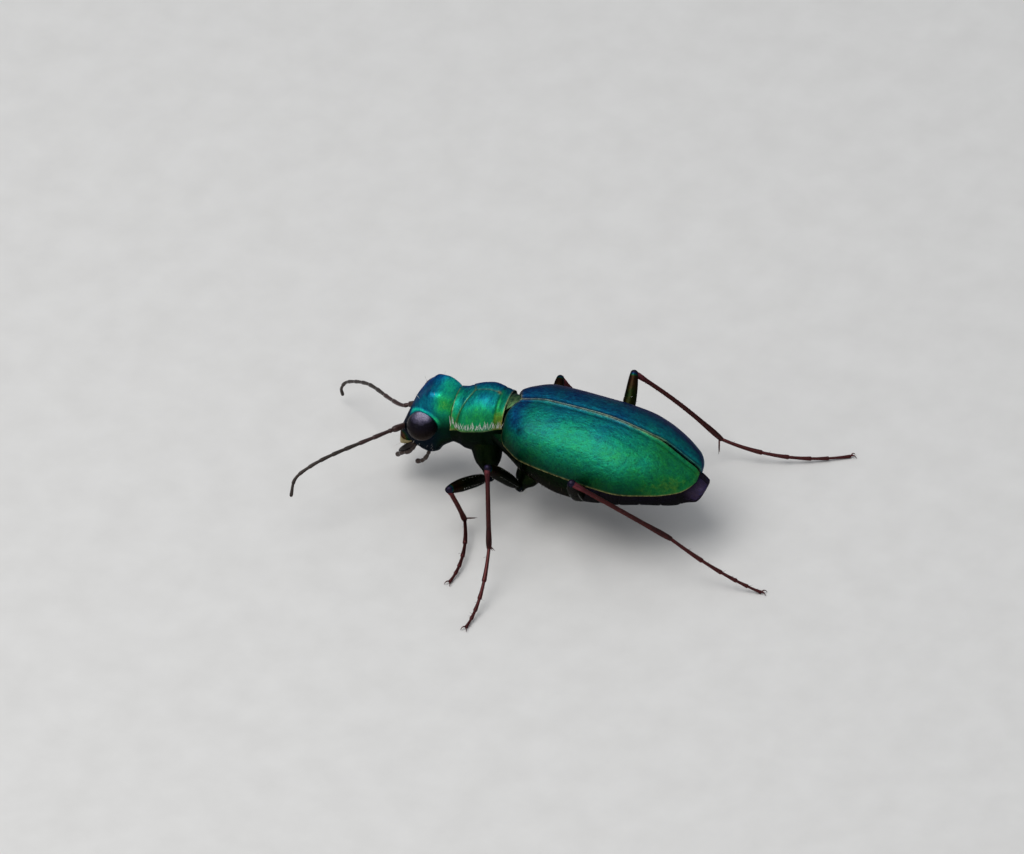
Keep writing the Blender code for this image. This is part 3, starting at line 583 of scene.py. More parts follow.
def prothorax_ring(t, scale=1.0):
    """A section of the prothorax with its grooves and side ridge, and its paint."""
    width, top, edge, belly = (at(knots, t) for knots in (PRONOTUM_HALF_WIDTH, PRONOTUM_TOP, PRONOTUM_EDGE,
                                                          PRONOTUM_BELLY))
    half = circle(PRONOTUM_SIDES // 2, math.pi)
    shield, under = oval(width, top - edge, 2.3, half), oval(-0.96 * width, belly - edge, 2.1, half)
    x, z = np.concatenate([shield, under], axis=1)
    above = np.arange(PRONOTUM_SIDES) < len(half)
    aside = np.abs(x)

    front = bell(t - FRONT_GROOVE - FRONT_GROOVE_SWEEP * (aside / 0.95) ** 1.3, 0.022)
    back = bell(t - BACK_GROOVE, 0.025)
    middle = bell(x, 0.035) * fade(t, 0.12, 0.2) * (1 - fade(t, 0.62, 0.72))
    lobes = bell(aside - 0.5, 0.32) * fade(t, 0.2, 0.4) * (1 - fade(t, 0.55, 0.75))
    dent = 0.028 * front + 0.02 * back * (1 + 0.6 * bell(aside - 0.5, 0.2)) + 0.02 * middle - 0.03 * lobes
    shrink = scale * (1 - above * dent / (np.hypot(x, z) + 1e-6))
    ridge = 0.035 * bell(z, 0.05) * np.sign(x)
    points = prothorax_point(x * shrink + ridge, np.full(PRONOTUM_SIDES, t), edge + z * shrink)

    rim = bell(t - 1, 0.018) + bell(t, 0.018)
    side_line = 0.7 * bell(z - 0.02, 0.045)
    corner = bell(t - 0.03, 0.1) * fade(aside, 0.6, 1.1)
    spot = bell(np.hypot(x, 3 * (t - 0.2)), 0.09)
    blue = bell(np.hypot(x - 0.45, 1.6 * (t - 0.42)), 0.4)
    hind = 1 - fade(t, 0.12, 0.2)
    # Painted shade: darker in both grooves, behind the back groove and on the right side; the right side is
    # also painted bluer, a painted sheen.
    tint = (0.5 + 0.15 * fade(aside, 0.5, 1.1) + 0.08 * (front + back + hind + bell(t - 0.97, 0.1))
            + 0.15 * corner - 0.05 * blue - 0.2 * fade(-x, -0.1, 0.8))
    shade = 1.22 - 0.3 * front - 0.2 * back - 0.3 * hind - 0.3 * fade(-x, 0.1, 0.8)
    trim = 0.75 * rim + side_line + 0.3 * middle + 0.3 * front + 0.9 * spot
    return (points, np.where(above, tint, 0.72), np.where(above, shade, 0.035 + 0.3 * bell(z, 0.06)),
            np.clip(np.where(above, trim, side_line), 0, 1))


def prothorax_skin(piece):
    """The shield behind the head, its underside and the turned-in rims at both ends."""
    rows = [prothorax_ring(t, scale) for t, scale in PRONOTUM_BACK_RIM]
    rows += [prothorax_ring(t) for t in np.linspace(0, 1, 150)]
    rows += [prothorax_ring(t, scale) for t, scale in PRONOTUM_FRONT_RIM]
    rings, *paint = zip(*rows)
    piece.add(*close_rings(rings), *(spread(values) for values in paint))


def scutellum_skin(piece):
    """The small shield between the roots of the wing covers."""
    rings = []
    for u in np.linspace(0, 1, 24):
        x, bulge = oval(0.58 * (1 - u) ** 0.8 + 0.02, 0.05, 2.5, circle(36))
        z = SEAM_HEIGHT - 0.07 - 0.12 * (x / 0.46) ** 2 + bulge - 0.05 * bell(u, 0.2)
        rings.append(np.stack([x, np.full(36, -0.5 + 0.72 * u), z], -1))
    piece.add(*close_rings(rings), 0.64, 0.36, 0.2)


def head_points(x, forward, up):
    """Points of the head's own frame."""
    return np.stack([x, -forward, up], -1) @ HEAD_TURN.T + np.array(HEAD_NECK)


def head_point(x, forward, up):
    """One point of the head's own frame."""
    return Vector(head_points(x, forward, up))


def eye_distance(hand, sideways, forward, up):
    """How far points of the head's own frame are from an eye's middle, and how far above it."""
    away = np.stack([sideways - hand * EYE_PLACE[0], forward - EYE_PLACE[1], up - EYE_PLACE[2]], -1)
    return np.linalg.norm(away, axis=-1), away[:, 2]


def head_skin(piece):
    """The head, with brow ridges, a hollow between them and a raised rim round each eye; its paint holds
    painted highlights and painted shade.
    """
    columns = zip(*([*top, *low, half, brow] for top, low, half, brow in HEAD_SECTIONS))
    knots = [list(enumerate(column)) for column in columns]
    turns = circle(180)
    x, level = oval(1, 1, np.where(np.sin(turns) > 0, 2.7, 2.4), turns)
    rings, tints, shades = [], [], []
    for s in np.linspace(0, len(HEAD_SECTIONS) - 1, 170):
        top_f, top_z, low_f, low_z, half, brow = (at(k, s) for k in knots)
        hollow = 0.05 * np.clip(level, 0, 1) * bell(x, 0.35) * fade(s, 2, 4)
        z = level + (level > 0) * brow * bell(np.abs(x) - 0.7, 0.3) - hollow
        forward = (top_f + low_f) / 2 + (top_f - low_f) / 2 * z
        up = (top_z + low_z) / 2 + (top_z - low_z) / 2 * z
        sideways = half * x
        for hand in (1, -1):
            distance, above = eye_distance(hand, sideways, forward, up)
            rim = 0.045 * bell(distance - EYE_RADIUS - 0.08, 0.06)
            sideways = sideways + hand * rim * 0.7
            up = up + rim * np.sign(above) * 0.4
        rings.append(head_points(sideways, forward, up))

        near = np.minimum(*(eye_distance(hand, sideways, forward, up)[0] for hand in (1, -1)))
        # Painted highlight: a bright crescent along the upper rim of each eye.
        painted_eye_rim_highlight = bell(near - EYE_RADIUS - 0.1, 0.07) * fade(up, 0.1, 0.5)
        back = 1 - fade(forward, 0.1, 0.7)
        face = fade(forward, 1.5, 1.9) * (1 - fade(up, -1.1, -0.7))
        low = 1 - fade(up, -0.1, 1.1)
        # The right side is painted bluer, a painted sheen; the crescent's tint is part of its painted
        # highlight.
        tint = (0.4 + 0.2 * back + 0.14 * back * fade(x, 0.35, 0.8) * (1 - fade(x, 0.85, 1)) + 0.14 * painted_eye_rim_highlight
                - 0.14 * fade(-x, -0.1, 0.8) - 0.05 * fade(forward, 1.3, 1.9))
        # Painted highlight over the top of the back of the head and on the right side, painted shade low
        # down, and darker towards the front.
        shade = 1.15 + 0.75 * back * fade(up, 0.5, 1) + 0.3 * fade(-x, 0, 0.7)
        shade = shade - 0.25 * fade(forward, 1.2, 1.8)
        shade = np.clip(shade * (1 - 0.94 * low) + 2.6 * painted_eye_rim_highlight, 0.03, 3)
        tints.append(tint * (1 - face) + face)
        shades.append(shade * (1 - 0.5 * face) + 0.22 * face)
    piece.add(*close_rings(rings), spread(tints), spread(shades), 0)


def eye_skin(piece, side):
    """A bulging eye."""
    centre = np.array(head_point(side * EYE_PLACE[0], EYE_PLACE[1], EYE_PLACE[2]))
    around = circle(EYE_SIDES)
    rings = np.array([np.stack([math.cos(a) * np.cos(around), math.cos(a) * np.sin(around),
                                np.full(EYE_SIDES, math.sin(a))], -1)
                      for a in np.linspace(-math.pi / 2 + 0.03, math.pi / 2 - 0.03, EYE_RINGS)])
    # The tint rises with height, so the eye's top is painted lavender-grey: a painted sky reflection.
    piece.add(*close_rings(centre + EYE_RADIUS * rings), 0.5 + 0.5 * spread(rings[..., 2]), 1, 0)


def labrum_skin(piece):
    """The pale upper lip with three small teeth on its front edge."""
    rings, shades = [], []
    turns = circle(60)
    rise = np.sin(turns)
    for u in np.linspace(0, 1, 26):
        x = 0.62 * (1 - 0.32 * u ** 3) * power(np.cos(turns), 0.6)
        out = 0.16 * power(rise, 0.7) * (1 - 0.4 * u) + 0.1 * (1 - (x / 0.66) ** 2)
        teeth = 0.06 * fade(u, 0.75, 1) * sum(bell(x - place, 0.07) for place in (-0.26, 0, 0.26))
        back = 0.5 * np.clip(-rise, 0, 1) * (1 - 0.5 * u)
        rings.append(head_points(x, 1.9 + 0.1 * u + out - back, -1.42 - 0.36 * u - teeth))
        shades.append(np.full(60, 1 - 0.5 * bell(u - 1, 0.06)))
    piece.add(*close_rings(rings), 0.6, spread(shades))


def mandible_skin(piece, side):
    """A curved jaw: pale at its root, dark and toothed towards the tip."""
    path = smooth_path([head_point(side * x, f, u) for x, f, u in MANDIBLE], 6)
    share = np.linspace(0, 1, len(path))
    tube(piece, path, 0.2 - 0.16 * share ** 1.4, 16, flatten=0.75,
         tint=0.25 - 0.2 * fade(share, 0, 0.2), shade=0.5 - 0.25 * fade(share, 0, 0.3))
    for place in (0.55, 0.7, 0.84):
        root = path[int(place * (len(path) - 1))]
        inward = (head_point(0, 1.85, -2.05) - root).normalized()
        tube(piece, [root, root + inward * 0.24], [0.07, 0.012], 8, False, tint=0, shade=0.5)


def palp_skin(piece, side, points):
    """A mouth feeler of four joints."""
    path = smooth_path([head_point(side * x, f, u) for x, f, u in points], 10)
    total = path_length(path)
    share = np.linspace(0, 1, 9)
    start = 0
    for part, radius in ((0.2, 0.08), (0.32, 0.09), (0.24, 0.085), (0.24, 0.105)):
        stretch = cut_path(path, total * start + 0.01, total * (start + part) - 0.01)
        tube(piece, stretch, radius * (0.7 + 0.45 * share - 0.15 * (share > 0.95)), 12,
             tint=0.4 + 0.3 * start, shade=1)
        start += part


def antenna_skin(piece, hand):
    """A feeler: a stout shaft, a short pedicel and nine slender joints, each wider at its far end."""
    path = smooth_path(ANTENNAE[hand], 14)
    unit = path_length(path) / sum(ANTENNA_JOINTS)
    share = np.linspace(0, 1, 9)
    start = 0
    for number, part in enumerate(ANTENNA_JOINTS):
        stretch = cut_path(path, start + 0.012, start + part * unit - 0.012)
        radius = (0.15, 0.105)[number] if number < 2 else 0.108 - 0.003 * number
        slim = 0.75 if number else 0.8
        swell = radius * (slim + (1 - slim) * share ** 1.5) * (1 - 0.12 * (share > 0.95))
        tube(piece, stretch, swell, 12, tint=0.9 if number < 4 else 0.3, shade=1)
        start += part * unit


def tarsus_line(ankle, bend, toe, u):
    """A point on the quadratic curve from ankle to toe."""
    u = float(u)
    return (1 - u) ** 2 * ankle + 2 * u * (1 - u) * bend + u * u * toe


def claws_and_spurs(piece, name, knee, ankle, bend, toe, ahead):
    """Two curved claws at the toe and two spurs at the end of the tibia."""
    aside = Vector((-ahead.y, ahead.x, 0)).normalized()
    for lean in (1, -1):
        claw = [toe + ahead * CLAW_LENGTH * reach + aside * lean * out + Vector((0, 0, up))
                for reach, out, up in CLAW]
        path = smooth_path(claw, 4)
        tube(piece, path, np.linspace(0.036, 0.008, len(path)), 8, tint=0.4, shade=0.8)
    along = (ankle - knee).normalized()
    inward = (along.cross(bend - ankle).cross(along)).normalized()
    across = along.cross(inward)
    root = ankle - along * 0.12
    for lean in (0.5, -0.5):
        way = (along - 0.8 * inward + lean * across).normalized() * SPUR_LENGTH
        if name in SPUR_WAYS:
            way = Vector(SPUR_WAYS[name]) + 0.1 * lean * across
        spur = [root, root + way * 0.5, root + way]
        tube(piece, spur, [0.035, 0.025, 0.006], 8, False, tint=0.3, shade=0.8)


def bowed(start, end, bow, u):
    """A point between two joints of a leg, with the bow of that limb."""
    return start.lerp(end, float(u)) + bow * math.sin(math.pi * u)


def leg_skin(name, points, femur, shin, bristles):
    """A leg: femur with its trochanter, tibia with spurs, five-jointed tarsus with claws, and bristles."""
    hip, knee, ankle, bend, toe = (Vector(p) for p in points)
    toe.z = TARSUS_RADIUS * 0.75
    bow = Vector(FEMUR_BOW.get(name, (0, 0, 0.05)))
    share = np.linspace(0, 1, 26)
    path = [bowed(hip, knee, bow, u) for u in share]
    # Painted highlight: the femur's end cap at the knee is painted lavender and much lighter.
    tint = np.where(share < 1, 0.84 + 0.12 * fade(share, 0.75, 0.9), 0)
    tube(femur, path, smooth_value(FEMUR_SHAPE, share), 24, flatten=0.95, tint=tint,
         shade=np.where(share < 1, 0.048, 0.42))
    along = (knee - hip).normalized()
    tube(femur, [hip - along * 0.05, hip + along * 0.2], [0.19, 0.18], 20, tint=0.3, shade=0.07)

    share = np.linspace(0, 1, 24)
    shin_bow = Vector(TIBIA_BOW.get(name, (0, 0, 0)))
    path = [bowed(knee, ankle, shin_bow, u) for u in share]
    # Painted highlight: the tibia is painted pink just below the knee, and so is its knee cap.
    tint = 0.32 - 0.2 * share + 0.5 * bell(share, 0.16)
    tube(shin, path, smooth_value(TIBIA_SHAPE, share), 16, tint=tint, shade=1)
    tube(shin, [knee.lerp(hip, 0.012), knee.lerp(ankle, 0.03)], [0.15, 0.13], 16, tint=0.75, shade=1)

    start = 0
    for part, wide in zip(TARSOMERE_SHARES, (1, 0.95, 0.9, 0.85, 0.75)):
        places = np.linspace(start + 0.006, start + part - 0.006, 9)
        stretch = [tarsus_line(ankle, bend, toe, u) for u in places]
        swell = TARSUS_RADIUS * wide * (0.7 + 0.3 * np.linspace(0, 1, 9) ** 2)
        for point, radius in zip(stretch, swell):
            point.z = max(point.z, radius)
        tube(shin, stretch, swell, 12, tint=0.3, shade=0.85)
        for u in np.linspace(0.25, 1, 4):
            root = tarsus_line(ankle, bend, toe, start + part * u)
            way = (toe - ankle).normalized() + 0.9 * Vector([random.uniform(-1, 1) for _ in range(3)])
            way.z = abs(way.z) * 0.2
            root.z = max(root.z, 0.08)
            hair(bristles, root, way, random.uniform(0.16, 0.26), 0.009, 0.1, tint=0.1)
        start += part
    ahead = toe - tarsus_line(ankle, bend, toe, 0.93)
    ahead.z = 0
    claws_and_spurs(shin, name, knee, ankle, bend, toe, ahead.normalized())
    leg_bristles((hip, knee, bow), (knee, ankle, shin_bow), bristles)


def spokes(start, end, count, first):
    """The way along a limb and even ways out of it, the first at some angle."""
    along = (end - start).normalized()
    across = along.orthogonal().normalized()
    other = along.cross(across)
    turns = [2 * math.pi * row / count + first for row in range(count)]
    return along, [math.cos(turn) * across + math.sin(turn) * other for turn in turns]


def leg_bristles(femur, tibia, bristles):
    """Pale hairs on the femur and short dark bristles on the tibia, each limb given as its ends and bow."""
    along, ways = spokes(*femur[:2], 5, 0.4)
    for out in ways:
        for u in np.linspace(0.14, 0.72, 12):
            place = u + random.uniform(-0.02, 0.02)
            root = bowed(*femur, place) + out * (at(FEMUR_SHAPE, place) * 0.82)
            hair(bristles, root, out * 0.6 + along * 0.8, random.uniform(0.1, 0.17), 0.011, 0.1, tint=0.85)
    along, ways = spokes(*tibia[:2], 4, 0.2)
    for out in ways:
        for u in np.linspace(0.1, 0.97, 22):
            root = bowed(*tibia, u + random.uniform(-0.015, 0.015)) + out * 0.07
            hair(bristles, root, out * 0.4 + along, random.uniform(0.08, 0.13), 0.007, 0.05, tint=0.15)


def pronotum_hairs(bristles):
    """A comb of short white hairs that rise from each side edge of the shield, thickest in front."""
    for t in np.linspace(0.02, 1, PRONOTUM_HAIRS):
        for side in (1, -1):
            place = min(max(t + random.uniform(-0.01, 0.01), 0), 1)
            lift = random.randint(1, 2) + (random.randint(0, 4) if place > 0.9 else 0)
            root = Vector(prothorax_ring(place)[0][lift if side > 0 else PRONOTUM_SIDES // 2 - 1 - lift])
            lean = random.uniform(-0.35, 0.35) + (-0.15 if place > 0.88 else 0.1)
            way = Vector((side * random.uniform(0.04, 0.2), lean, 1))
            length = random.uniform(0.26, 0.4) * (1.2 if place > 0.9 else 1)
            hair(bristles, root, way, length, 0.012, 0.03, tint=1)


def body_hairs(bristles):
    """Hairs on the sides of the chest, white but painted dark brown as painted shade, and white hairs on
    the coxae, the face and the cheeks.
    """
    for _ in range(BELLY_HAIRS):
        ring = belly_ring(random.uniform(0.02, 0.36))
        side = random.choice((-1, 1))
        lift = random.randint(4, 17)
        root = Vector(ring[lift if side > 0 else BELLY_SIDES // 2 - 1 - lift])
        way = Vector((side * 0.9, random.uniform(0.3, 0.9), random.uniform(-0.6, -0.1)))
        # The chest's hairs are painted dark brown: painted shade under the body.
        hair(bristles, root, way, random.uniform(0.08, 0.15), 0.007, 0.2, tint=0.2)
    for name, points in LEGS.items():
        root, hip = hip_root(name), Vector(points[0])
        for _ in range(COXA_HAIRS):
            u, angle = random.uniform(0.35, 0.95), random.uniform(0, 2 * math.pi)
            aside = 0.6 * math.copysign(1, hip.x) + 0.4 * math.cos(angle)
            out = Vector((aside, 0.8 * math.sin(angle), -0.35)).normalized()
            base = root.lerp(hip, u) + out * (COXA_RADIUS[name.split("_")[0]] * (0.95 - 0.62 * u))
            hair(bristles, base, out + Vector((0, 0, -0.4)), random.uniform(0.1, 0.2), 0.008, 0.2, tint=0.7)
    for side in (1, -1):
        for (x, forward, up), way in FACE_HAIRS:
            root = head_point(side * x, forward, up)
            hair(bristles, root, (side * way[0], way[1], way[2]), 0.42, 0.012, 0.1, tint=0.8)
        for _ in range(CHEEK_HAIRS):
            root = head_point(side * 0.92, random.uniform(0.3, 1.4), random.uniform(-1.6, -0.95))
            hair(bristles, root, (side, -0.3, -0.5), random.uniform(0.08, 0.15), 0.007, 0.2, tint=0.7)


def feed(tree, socket, value):
    """Set a shader input to a value, or link it to another node's output."""
    if isinstance(value, bpy.types.NodeSocket):
        tree.links.new(value, socket)
    else:
        socket.default_value = value


def node(tree, kind, inputs=None, **settings):
    """A shader node with its settings, input values and links."""
    made = tree.nodes.new(kind)
    for key, value in settings.items():
        setattr(made, key, value)
    for key, value in (inputs or {}).items():
        feed(tree, made.inputs[key], value)
    return made


def math_node(tree, operation, first, second, clamp=False):
    """The result of a sum on two numbers or sockets."""
    inputs = {0: first, 1: second}
    return node(tree, "ShaderNodeMath", inputs, operation=operation, use_clamp=clamp).outputs[0]


def mix_colour(tree, blend, amount, first, second):
    """Two colours mixed by a blend mode."""
    inputs = {0: amount, 6: first, 7: second}
    return node(tree, "ShaderNodeMix", inputs, data_type="RGBA", blend_type=blend).outputs[2]


def ramp(tree, factor, stops):
    """A colour ramp through (place, colour) stops."""
    made = tree.nodes.new("ShaderNodeValToRGB")
    tree.links.new(factor, made.inputs[0])
    elements = made.color_ramp.elements
    while len(elements) < len(stops):
        elements.new(0.5)
    for element, (place, colour) in zip(elements, stops):
        element.position = place
        element.color = (*colour, 1)
    return made.outputs[0]


def new_material(name, **sockets):
    """A Principled material, its node tree, its shader and coordinates in millimetres."""
    made = bpy.data.materials.new(name)
    made.use_nodes = True
    tree = made.node_tree
    shader = tree.nodes["Principled BSDF"]
    for key, value in sockets.items():
        shader.inputs[key.replace("_", " ")].default_value = value
    place = node(tree, "ShaderNodeTexCoord").outputs["Object"]
    scaled = node(tree, "ShaderNodeMapping", {"Vector": place, "Scale": (1000, 1000, 1000)}).outputs[0]
    return made, tree, shader, scaled


def value_of(tree, label):
    """One of the paint values that the meshes carry."""
    return node(tree, "ShaderNodeAttribute", attribute_name=label).outputs["Fac"]


def spread_value(tree, value, low, high, start=0.3, end=0.7):
    """A value between two others, stretched from the middle range of a noise."""
    inputs = {"Value": value, "From Min": start, "From Max": end, "To Min": low, "To Max": high}
    return node(tree, "ShaderNodeMapRange", inputs).outputs[0]


def noise(tree, place, scale, detail):
    """Soft clouds of values around one half."""
    inputs = {"Vector": place, "Scale": scale, "Detail": detail}
    return node(tree, "ShaderNodeTexNoise", inputs).outputs["Fac"]


def cells(tree, place, scale):
    """Distances from the middles of small cells."""
    return node(tree, "ShaderNodeTexVoronoi", {"Vector": place, "Scale": scale}).outputs["Distance"]


def varied_tint(tree, cloud, sway):
    """The painted tint, moved up and down by a noise."""
    shift = math_node(tree, "MULTIPLY", math_node(tree, "SUBTRACT", cloud, 0.5), sway)
    return math_node(tree, "ADD", value_of(tree, "tint"), shift, True)


def relief(tree, *layers, invert=False):
    """A bump through layers of (height, depth in metres, strength), each upon the one before."""
    bump = None
    for height, depth, strength in layers:
        inputs = {"Height": height, "Distance": depth, "Strength": strength}
        if bump:
            inputs["Normal"] = bump
        bump = node(tree, "ShaderNodeBump", inputs, invert=invert).outputs[0]
    return bump


def connect(tree, shader, colour, rough, bump):
    """Link a material's colour, roughness and relief to its shader."""
    for socket, value in (("Base Color", colour), ("Roughness", rough), ("Normal", bump)):
        tree.links.new(value, shader.inputs[socket])


def grey(tree, value):
    """A grey colour of some brightness."""
    return node(tree, "ShaderNodeCombineColor", {"Red": value, "Green": value, "Blue": value}).outputs[0]


def cuticle(name, wrinkle, pits, gloss, coat, stretch, metal=0.95, edge=EDGE_TINT):
    """Shining cuticle whose colour runs along the structural ramp, with fine relief."""
    made, tree, shader, place = new_material(
        name, Metallic=metal, Coat_Weight=coat, Coat_Roughness=0.3, Coat_IOR=1.4, Specular_Tint=edge)
    inputs = {"Vector": place, "Rotation": (0, 0, 0.5), "Scale": stretch}
    drawn = node(tree, "ShaderNodeMapping", inputs).outputs[0]
    broad = noise(tree, place, *BROAD_CLOUDS)
    leather = noise(tree, drawn, *LEATHER)
    fine = noise(tree, drawn, *FINE_CLOUDS)
    grains = noise(tree, drawn, *GRAINS)
    hollow = spread_value(tree, cells(tree, place, PIT_SCALE), 0, 1, 0.05, 0.3)

    tint = value_of(tree, "tint")
    for cloud, sway in ((broad, MOTTLE), (leather, 0.5 * MOTTLE), (fine, 0.6 * MOTTLE)):
        tint = math_node(tree, "ADD", tint, spread_value(tree, cloud, -sway, sway), cloud is fine)
    # Painted shade: the pits are painted darker, besides being sunk by the bump.
    pitted = spread_value(tree, hollow, 1 - pits, 1, 0, 1)
    shade = math_node(tree, "MULTIPLY", value_of(tree, "shade"), pitted)
    for cloud, dark, light in ((leather, 0.8, 1.1), (fine, 0.75, 1.15), (grains, 0.75, 1.2)):
        shade = math_node(tree, "MULTIPLY", shade, spread_value(tree, cloud, dark, light))
    colour = mix_colour(tree, "MULTIPLY", 1, ramp(tree, tint, STRUCTURAL), grey(tree, shade))
    gold = ramp(tree, fine, [(0.35, GOLD_DARK), (0.65, GOLD_LIGHT)])
    colour = mix_colour(tree, "MIX", value_of(tree, "trim"), colour, gold)

    rough = spread_value(tree, fine, gloss - 0.05, gloss + 0.1)
    bump = relief(tree, (leather, 0.00006, wrinkle), (fine, 0.00003, wrinkle), (hollow, 0.00002, pits),
                  (grains, 0.000008, wrinkle))
    connect(tree, shader, colour, rough, bump)
    return made


def leg_material():
    """Dark red-brown cuticle with a purple sheen."""
    made, tree, shader, place = new_material(
        "leg_cuticle", Metallic=0.9, Coat_Weight=0.06, Coat_Roughness=0.3, Specular_Tint=LEG_EDGE_TINT)
    cloud = noise(tree, place, 6, 5)
    colour = ramp(tree, varied_tint(tree, cloud, 0.5), LEG_COLOURS)
    rough = spread_value(tree, cloud, 0.25, 0.5, 0, 1)
    connect(tree, shader, colour, rough, relief(tree, (noise(tree, place, 30, 2), 0.000008, 0.6)))
    return made


def feeler_material():
    """Dark brown cuticle, shining on the first joints and dull with down on the rest."""
    made, tree, shader, place = new_material(
        "feeler_cuticle", Metallic=0.3, Sheen_Weight=0.3, Sheen_Roughness=0.4)
    tint = varied_tint(tree, noise(tree, place, 12, 5), 0.6)
    rough = spread_value(tree, tint, 0.62, 0.3, 0, 1)
    bump = relief(tree, (noise(tree, place, 40, 2), 0.000008, 0.7))
    connect(tree, shader, ramp(tree, tint, FEELER_COLOURS), rough, bump)
    return made


def eye_material():
    """A compound eye: fine facets, dark below and lavender-grey where it catches the sky."""
    made, tree, shader, place = new_material("eye_facets", IOR=1.1, Coat_Weight=0.06, Coat_Roughness=0.1)
    facets = cells(tree, place, 26)
    cloud = noise(tree, place, 2.5, 4)
    colour = ramp(tree, varied_tint(tree, cloud, 0.3), EYE_COLOURS)
    edges = spread_value(tree, facets, 1.15, 0.6, 0.2, 0.6)
    colour = mix_colour(tree, "MULTIPLY", 1, colour, grey(tree, edges))
    rough = spread_value(tree, cloud, 0.25, 0.42, 0, 1)
    connect(tree, shader, colour, rough, relief(tree, (facets, 0.000012, 0.8), invert=True))
    return made


def lip_material():
    """Cream cuticle that turns dark brown where the tint is low."""
    made, tree, shader, place = new_material("lip_cuticle", IOR=1.3, Coat_Weight=0.05, Coat_Roughness=0.2)
    cloud = noise(tree, place, 5, 5)
    colour = ramp(tree, varied_tint(tree, cloud, 0.3), LIP_COLOURS)
    colour = mix_colour(tree, "MULTIPLY", 1, colour, grey(tree, value_of(tree, "shade")))
    rough = spread_value(tree, cloud, 0.3, 0.5, 0, 1)
    connect(tree, shader, colour, rough, relief(tree, (cloud, 0.00002, 0.5)))
    return made


def hair_material():
    """Bristles: white where the tint is high, brown where it is low."""
    made, tree, shader, place = new_material("bristles", Roughness=0.4, Coat_Weight=0.2)
    colour = ramp(tree, varied_tint(tree, noise(tree, place, 8, 2), 0.2), HAIR_COLOURS)
    tree.links.new(colour, shader.inputs["Base Color"])
    return made


def floor_material():
    """A plain pale floor with a faint grain."""
    made, tree, shader, place = new_material("pale_floor", Roughness=0.75)
    tree.links.new(ramp(tree, noise(tree, place, 0.6, 3), FLOOR_COLOURS), shader.inputs["Base Color"])
    return made


def camera_axes():
    """The camera's right, up and back directions."""
    d, e = CAMERA_TURN, CAMERA_HEIGHT
    right = Vector((-math.sin(d), math.cos(d), 0))
    up = Vector((-math.cos(d) * math.sin(e), -math.sin(d) * math.sin(e), math.cos(e)))
    return right, up, right.cross(up)


def add_camera():
    """The camera at the photograph's angle, so far off that its view is nearly parallel."""
    right, up, back = camera_axes()
    off_right = (IMAGE_WIDTH / 2 - SEAM_PIXEL[0]) / PIXELS_PER_MM
    off_up = (SEAM_PIXEL[1] - IMAGE_HEIGHT / 2) / PIXELS_PER_MM
    aim = SEAM + right * off_right + up * off_up
    distance = LENS * IMAGE_WIDTH / SENSOR / PIXELS_PER_MM
    data = bpy.data.cameras.new("photo_camera")
    data.lens = LENS
    data.sensor_width = SENSOR
    data.clip_end = 100
    made = add_object("photo_camera", data)
    turn = Matrix((right, up, back)).transposed().to_4x4()
    made.matrix_world = Matrix.Translation((aim + back * distance) * MM) @ turn
    bpy.context.scene.camera = made


def add_light(name, place, size, power, colour):
    """A soft square light that faces the beetle."""
    data = bpy.data.lights.new(name, "AREA")
    data.size = size * MM
    data.energy = power
    data.color = colour
    made = add_object(name, data)
    made.location = Vector(place) * MM
    made.rotation_euler = (LIGHT_AIM - Vector(place)).to_track_quat("-Z", "Y").to_euler()


def add_stage():
    """The floor, the soft lights and a grey sky that brightens overhead."""
    mesh = bpy.data.meshes.new("floor")
    corners = [(x * FLOOR_HALF, y * FLOOR_HALF, 0) for x, y in ((-1, -1), (1, -1), (1, 1), (-1, 1))]
    mesh.from_pydata(corners, [], [(0, 1, 2, 3)])
    mesh.materials.append(floor_material())
    floor = add_object("floor", mesh)
    for name, values in LIGHTS.items():
        add_light(name, *values)
    world = bpy.data.worlds.new("studio")
    world.use_nodes = True
    tree = world.node_tree
    way = node(tree, "ShaderNodeTexCoord").outputs["Generated"]
    height = node(tree, "ShaderNodeSeparateXYZ", {"Vector": way}).outputs[2]
    sky = ramp(tree, height, [(0.0, HORIZON_COLOUR), (0.9, ZENITH_COLOUR)])
    tree.links.new(sky, tree.nodes["Background"].inputs[0])
    bpy.context.scene.world = world
    bpy.context.scene.view_settings.view_transform = "Standard"


def dress(name, material, slot, nodes, *skins):
    """One object of some skins, each given as its function and that function's values."""
    piece = Piece()
    for skin, *values in skins:
        skin(piece, *values)
    piece.finish(name, material, slot, nodes)


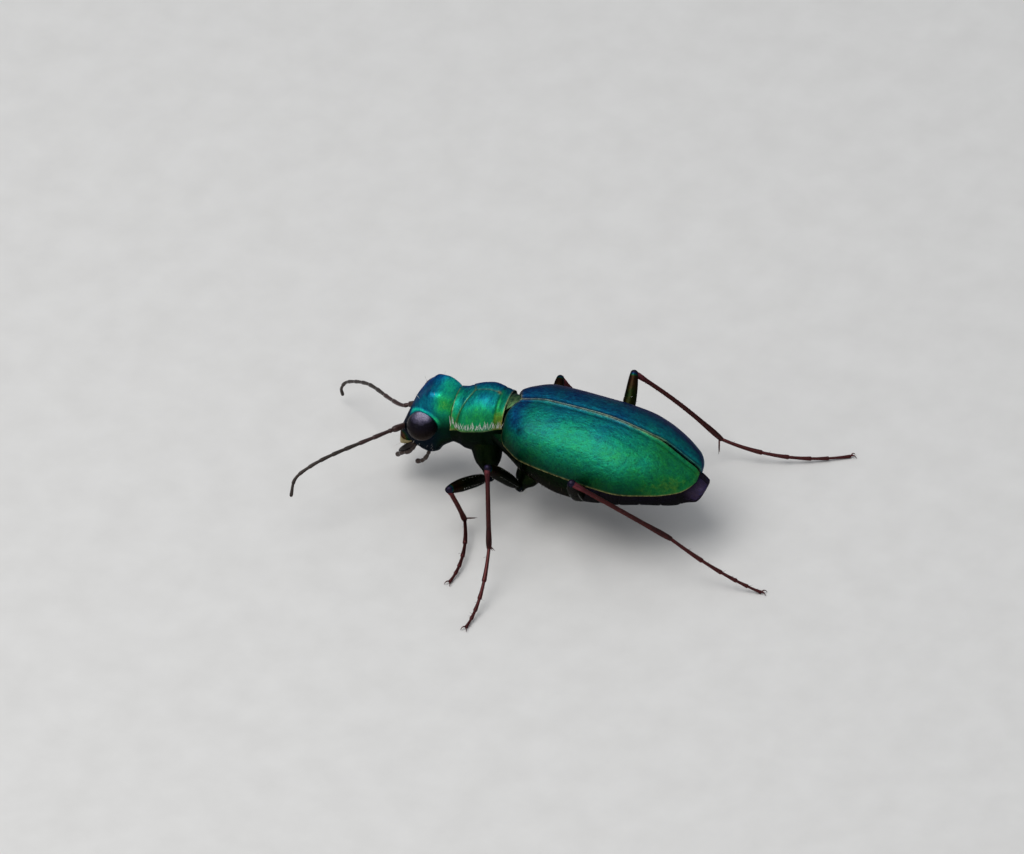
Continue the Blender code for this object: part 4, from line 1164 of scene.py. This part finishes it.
def build():
    """Every piece of the beetle."""
    cover = cuticle("cover_cuticle", wrinkle=0.6, pits=0.3, gloss=0.5, coat=0.12, stretch=(1.3, 0.8, 1))
    shield = cuticle("shield_cuticle", wrinkle=0.4, pits=0.08, gloss=0.49, coat=0.06, stretch=(0.7, 1.4, 1))
    body = cuticle("body_cuticle", wrinkle=0.5, pits=0.2, gloss=0.4, coat=0.1, stretch=(1, 1, 1), metal=1,
                   edge=BODY_EDGE_TINT)
    eyes, legs, feelers, lips = eye_material(), leg_material(), feeler_material(), lip_material()

    for side, hand in ((1, "left"), (-1, "right")):
        dress(f"elytron_{hand}_skin", cover, "shell", [f"elytron_{hand}"], (elytron_skin, side))
        dress(f"eye_{hand}_facets", eyes, "eye", [f"eye_{hand}"], (eye_skin, side))
        dress(f"antenna_{hand}_joints", feelers, "feeler",
              [f"antenna_{hand}_{part}" for part in ("root", "middle", "tip")], (antenna_skin, hand))
        dress(f"palps_{hand}_joints", feelers, "feeler", [f"palp_outer_{hand}", f"palp_inner_{hand}"],
              (palp_skin, side, OUTER_PALP), (palp_skin, side, INNER_PALP))
        dress(f"mandible_{hand}_skin", lips, "lip", [f"mandible_{hand}"], (mandible_skin, side))

    dress("head_skin", shield, "shell", ["head"], (head_skin,))
    dress("prothorax_skin", shield, "shell", ["prothorax"], (prothorax_skin,), (coxae, "front"))
    dress("scutellum_skin", shield, "shell", ["scutellum"], (scutellum_skin,))
    dress("labrum_skin", lips, "lip", ["labrum"], (labrum_skin,))
    dress("hind_body_skin", body, "body", ["pterothorax", "abdomen"],
          (hind_skin,), (coxae, "middle"), (coxae, "hind"))

    bristles = Piece()
    for name, points in LEGS.items():
        femur, shin = Piece(), Piece()
        leg_skin(name, points, femur, shin, bristles)
        femur.finish(f"leg_{name}_femur_skin", body, "body", [f"leg_{name}_femur"])
        shin.finish(f"leg_{name}_shin_skin", legs, "leg", [f"leg_{name}_tibia", f"leg_{name}_tarsus"])
    pronotum_hairs(bristles)
    body_hairs(bristles)
    bristles.finish("bristles", hair_material(), "feeler")


build()
add_camera()
add_stage()
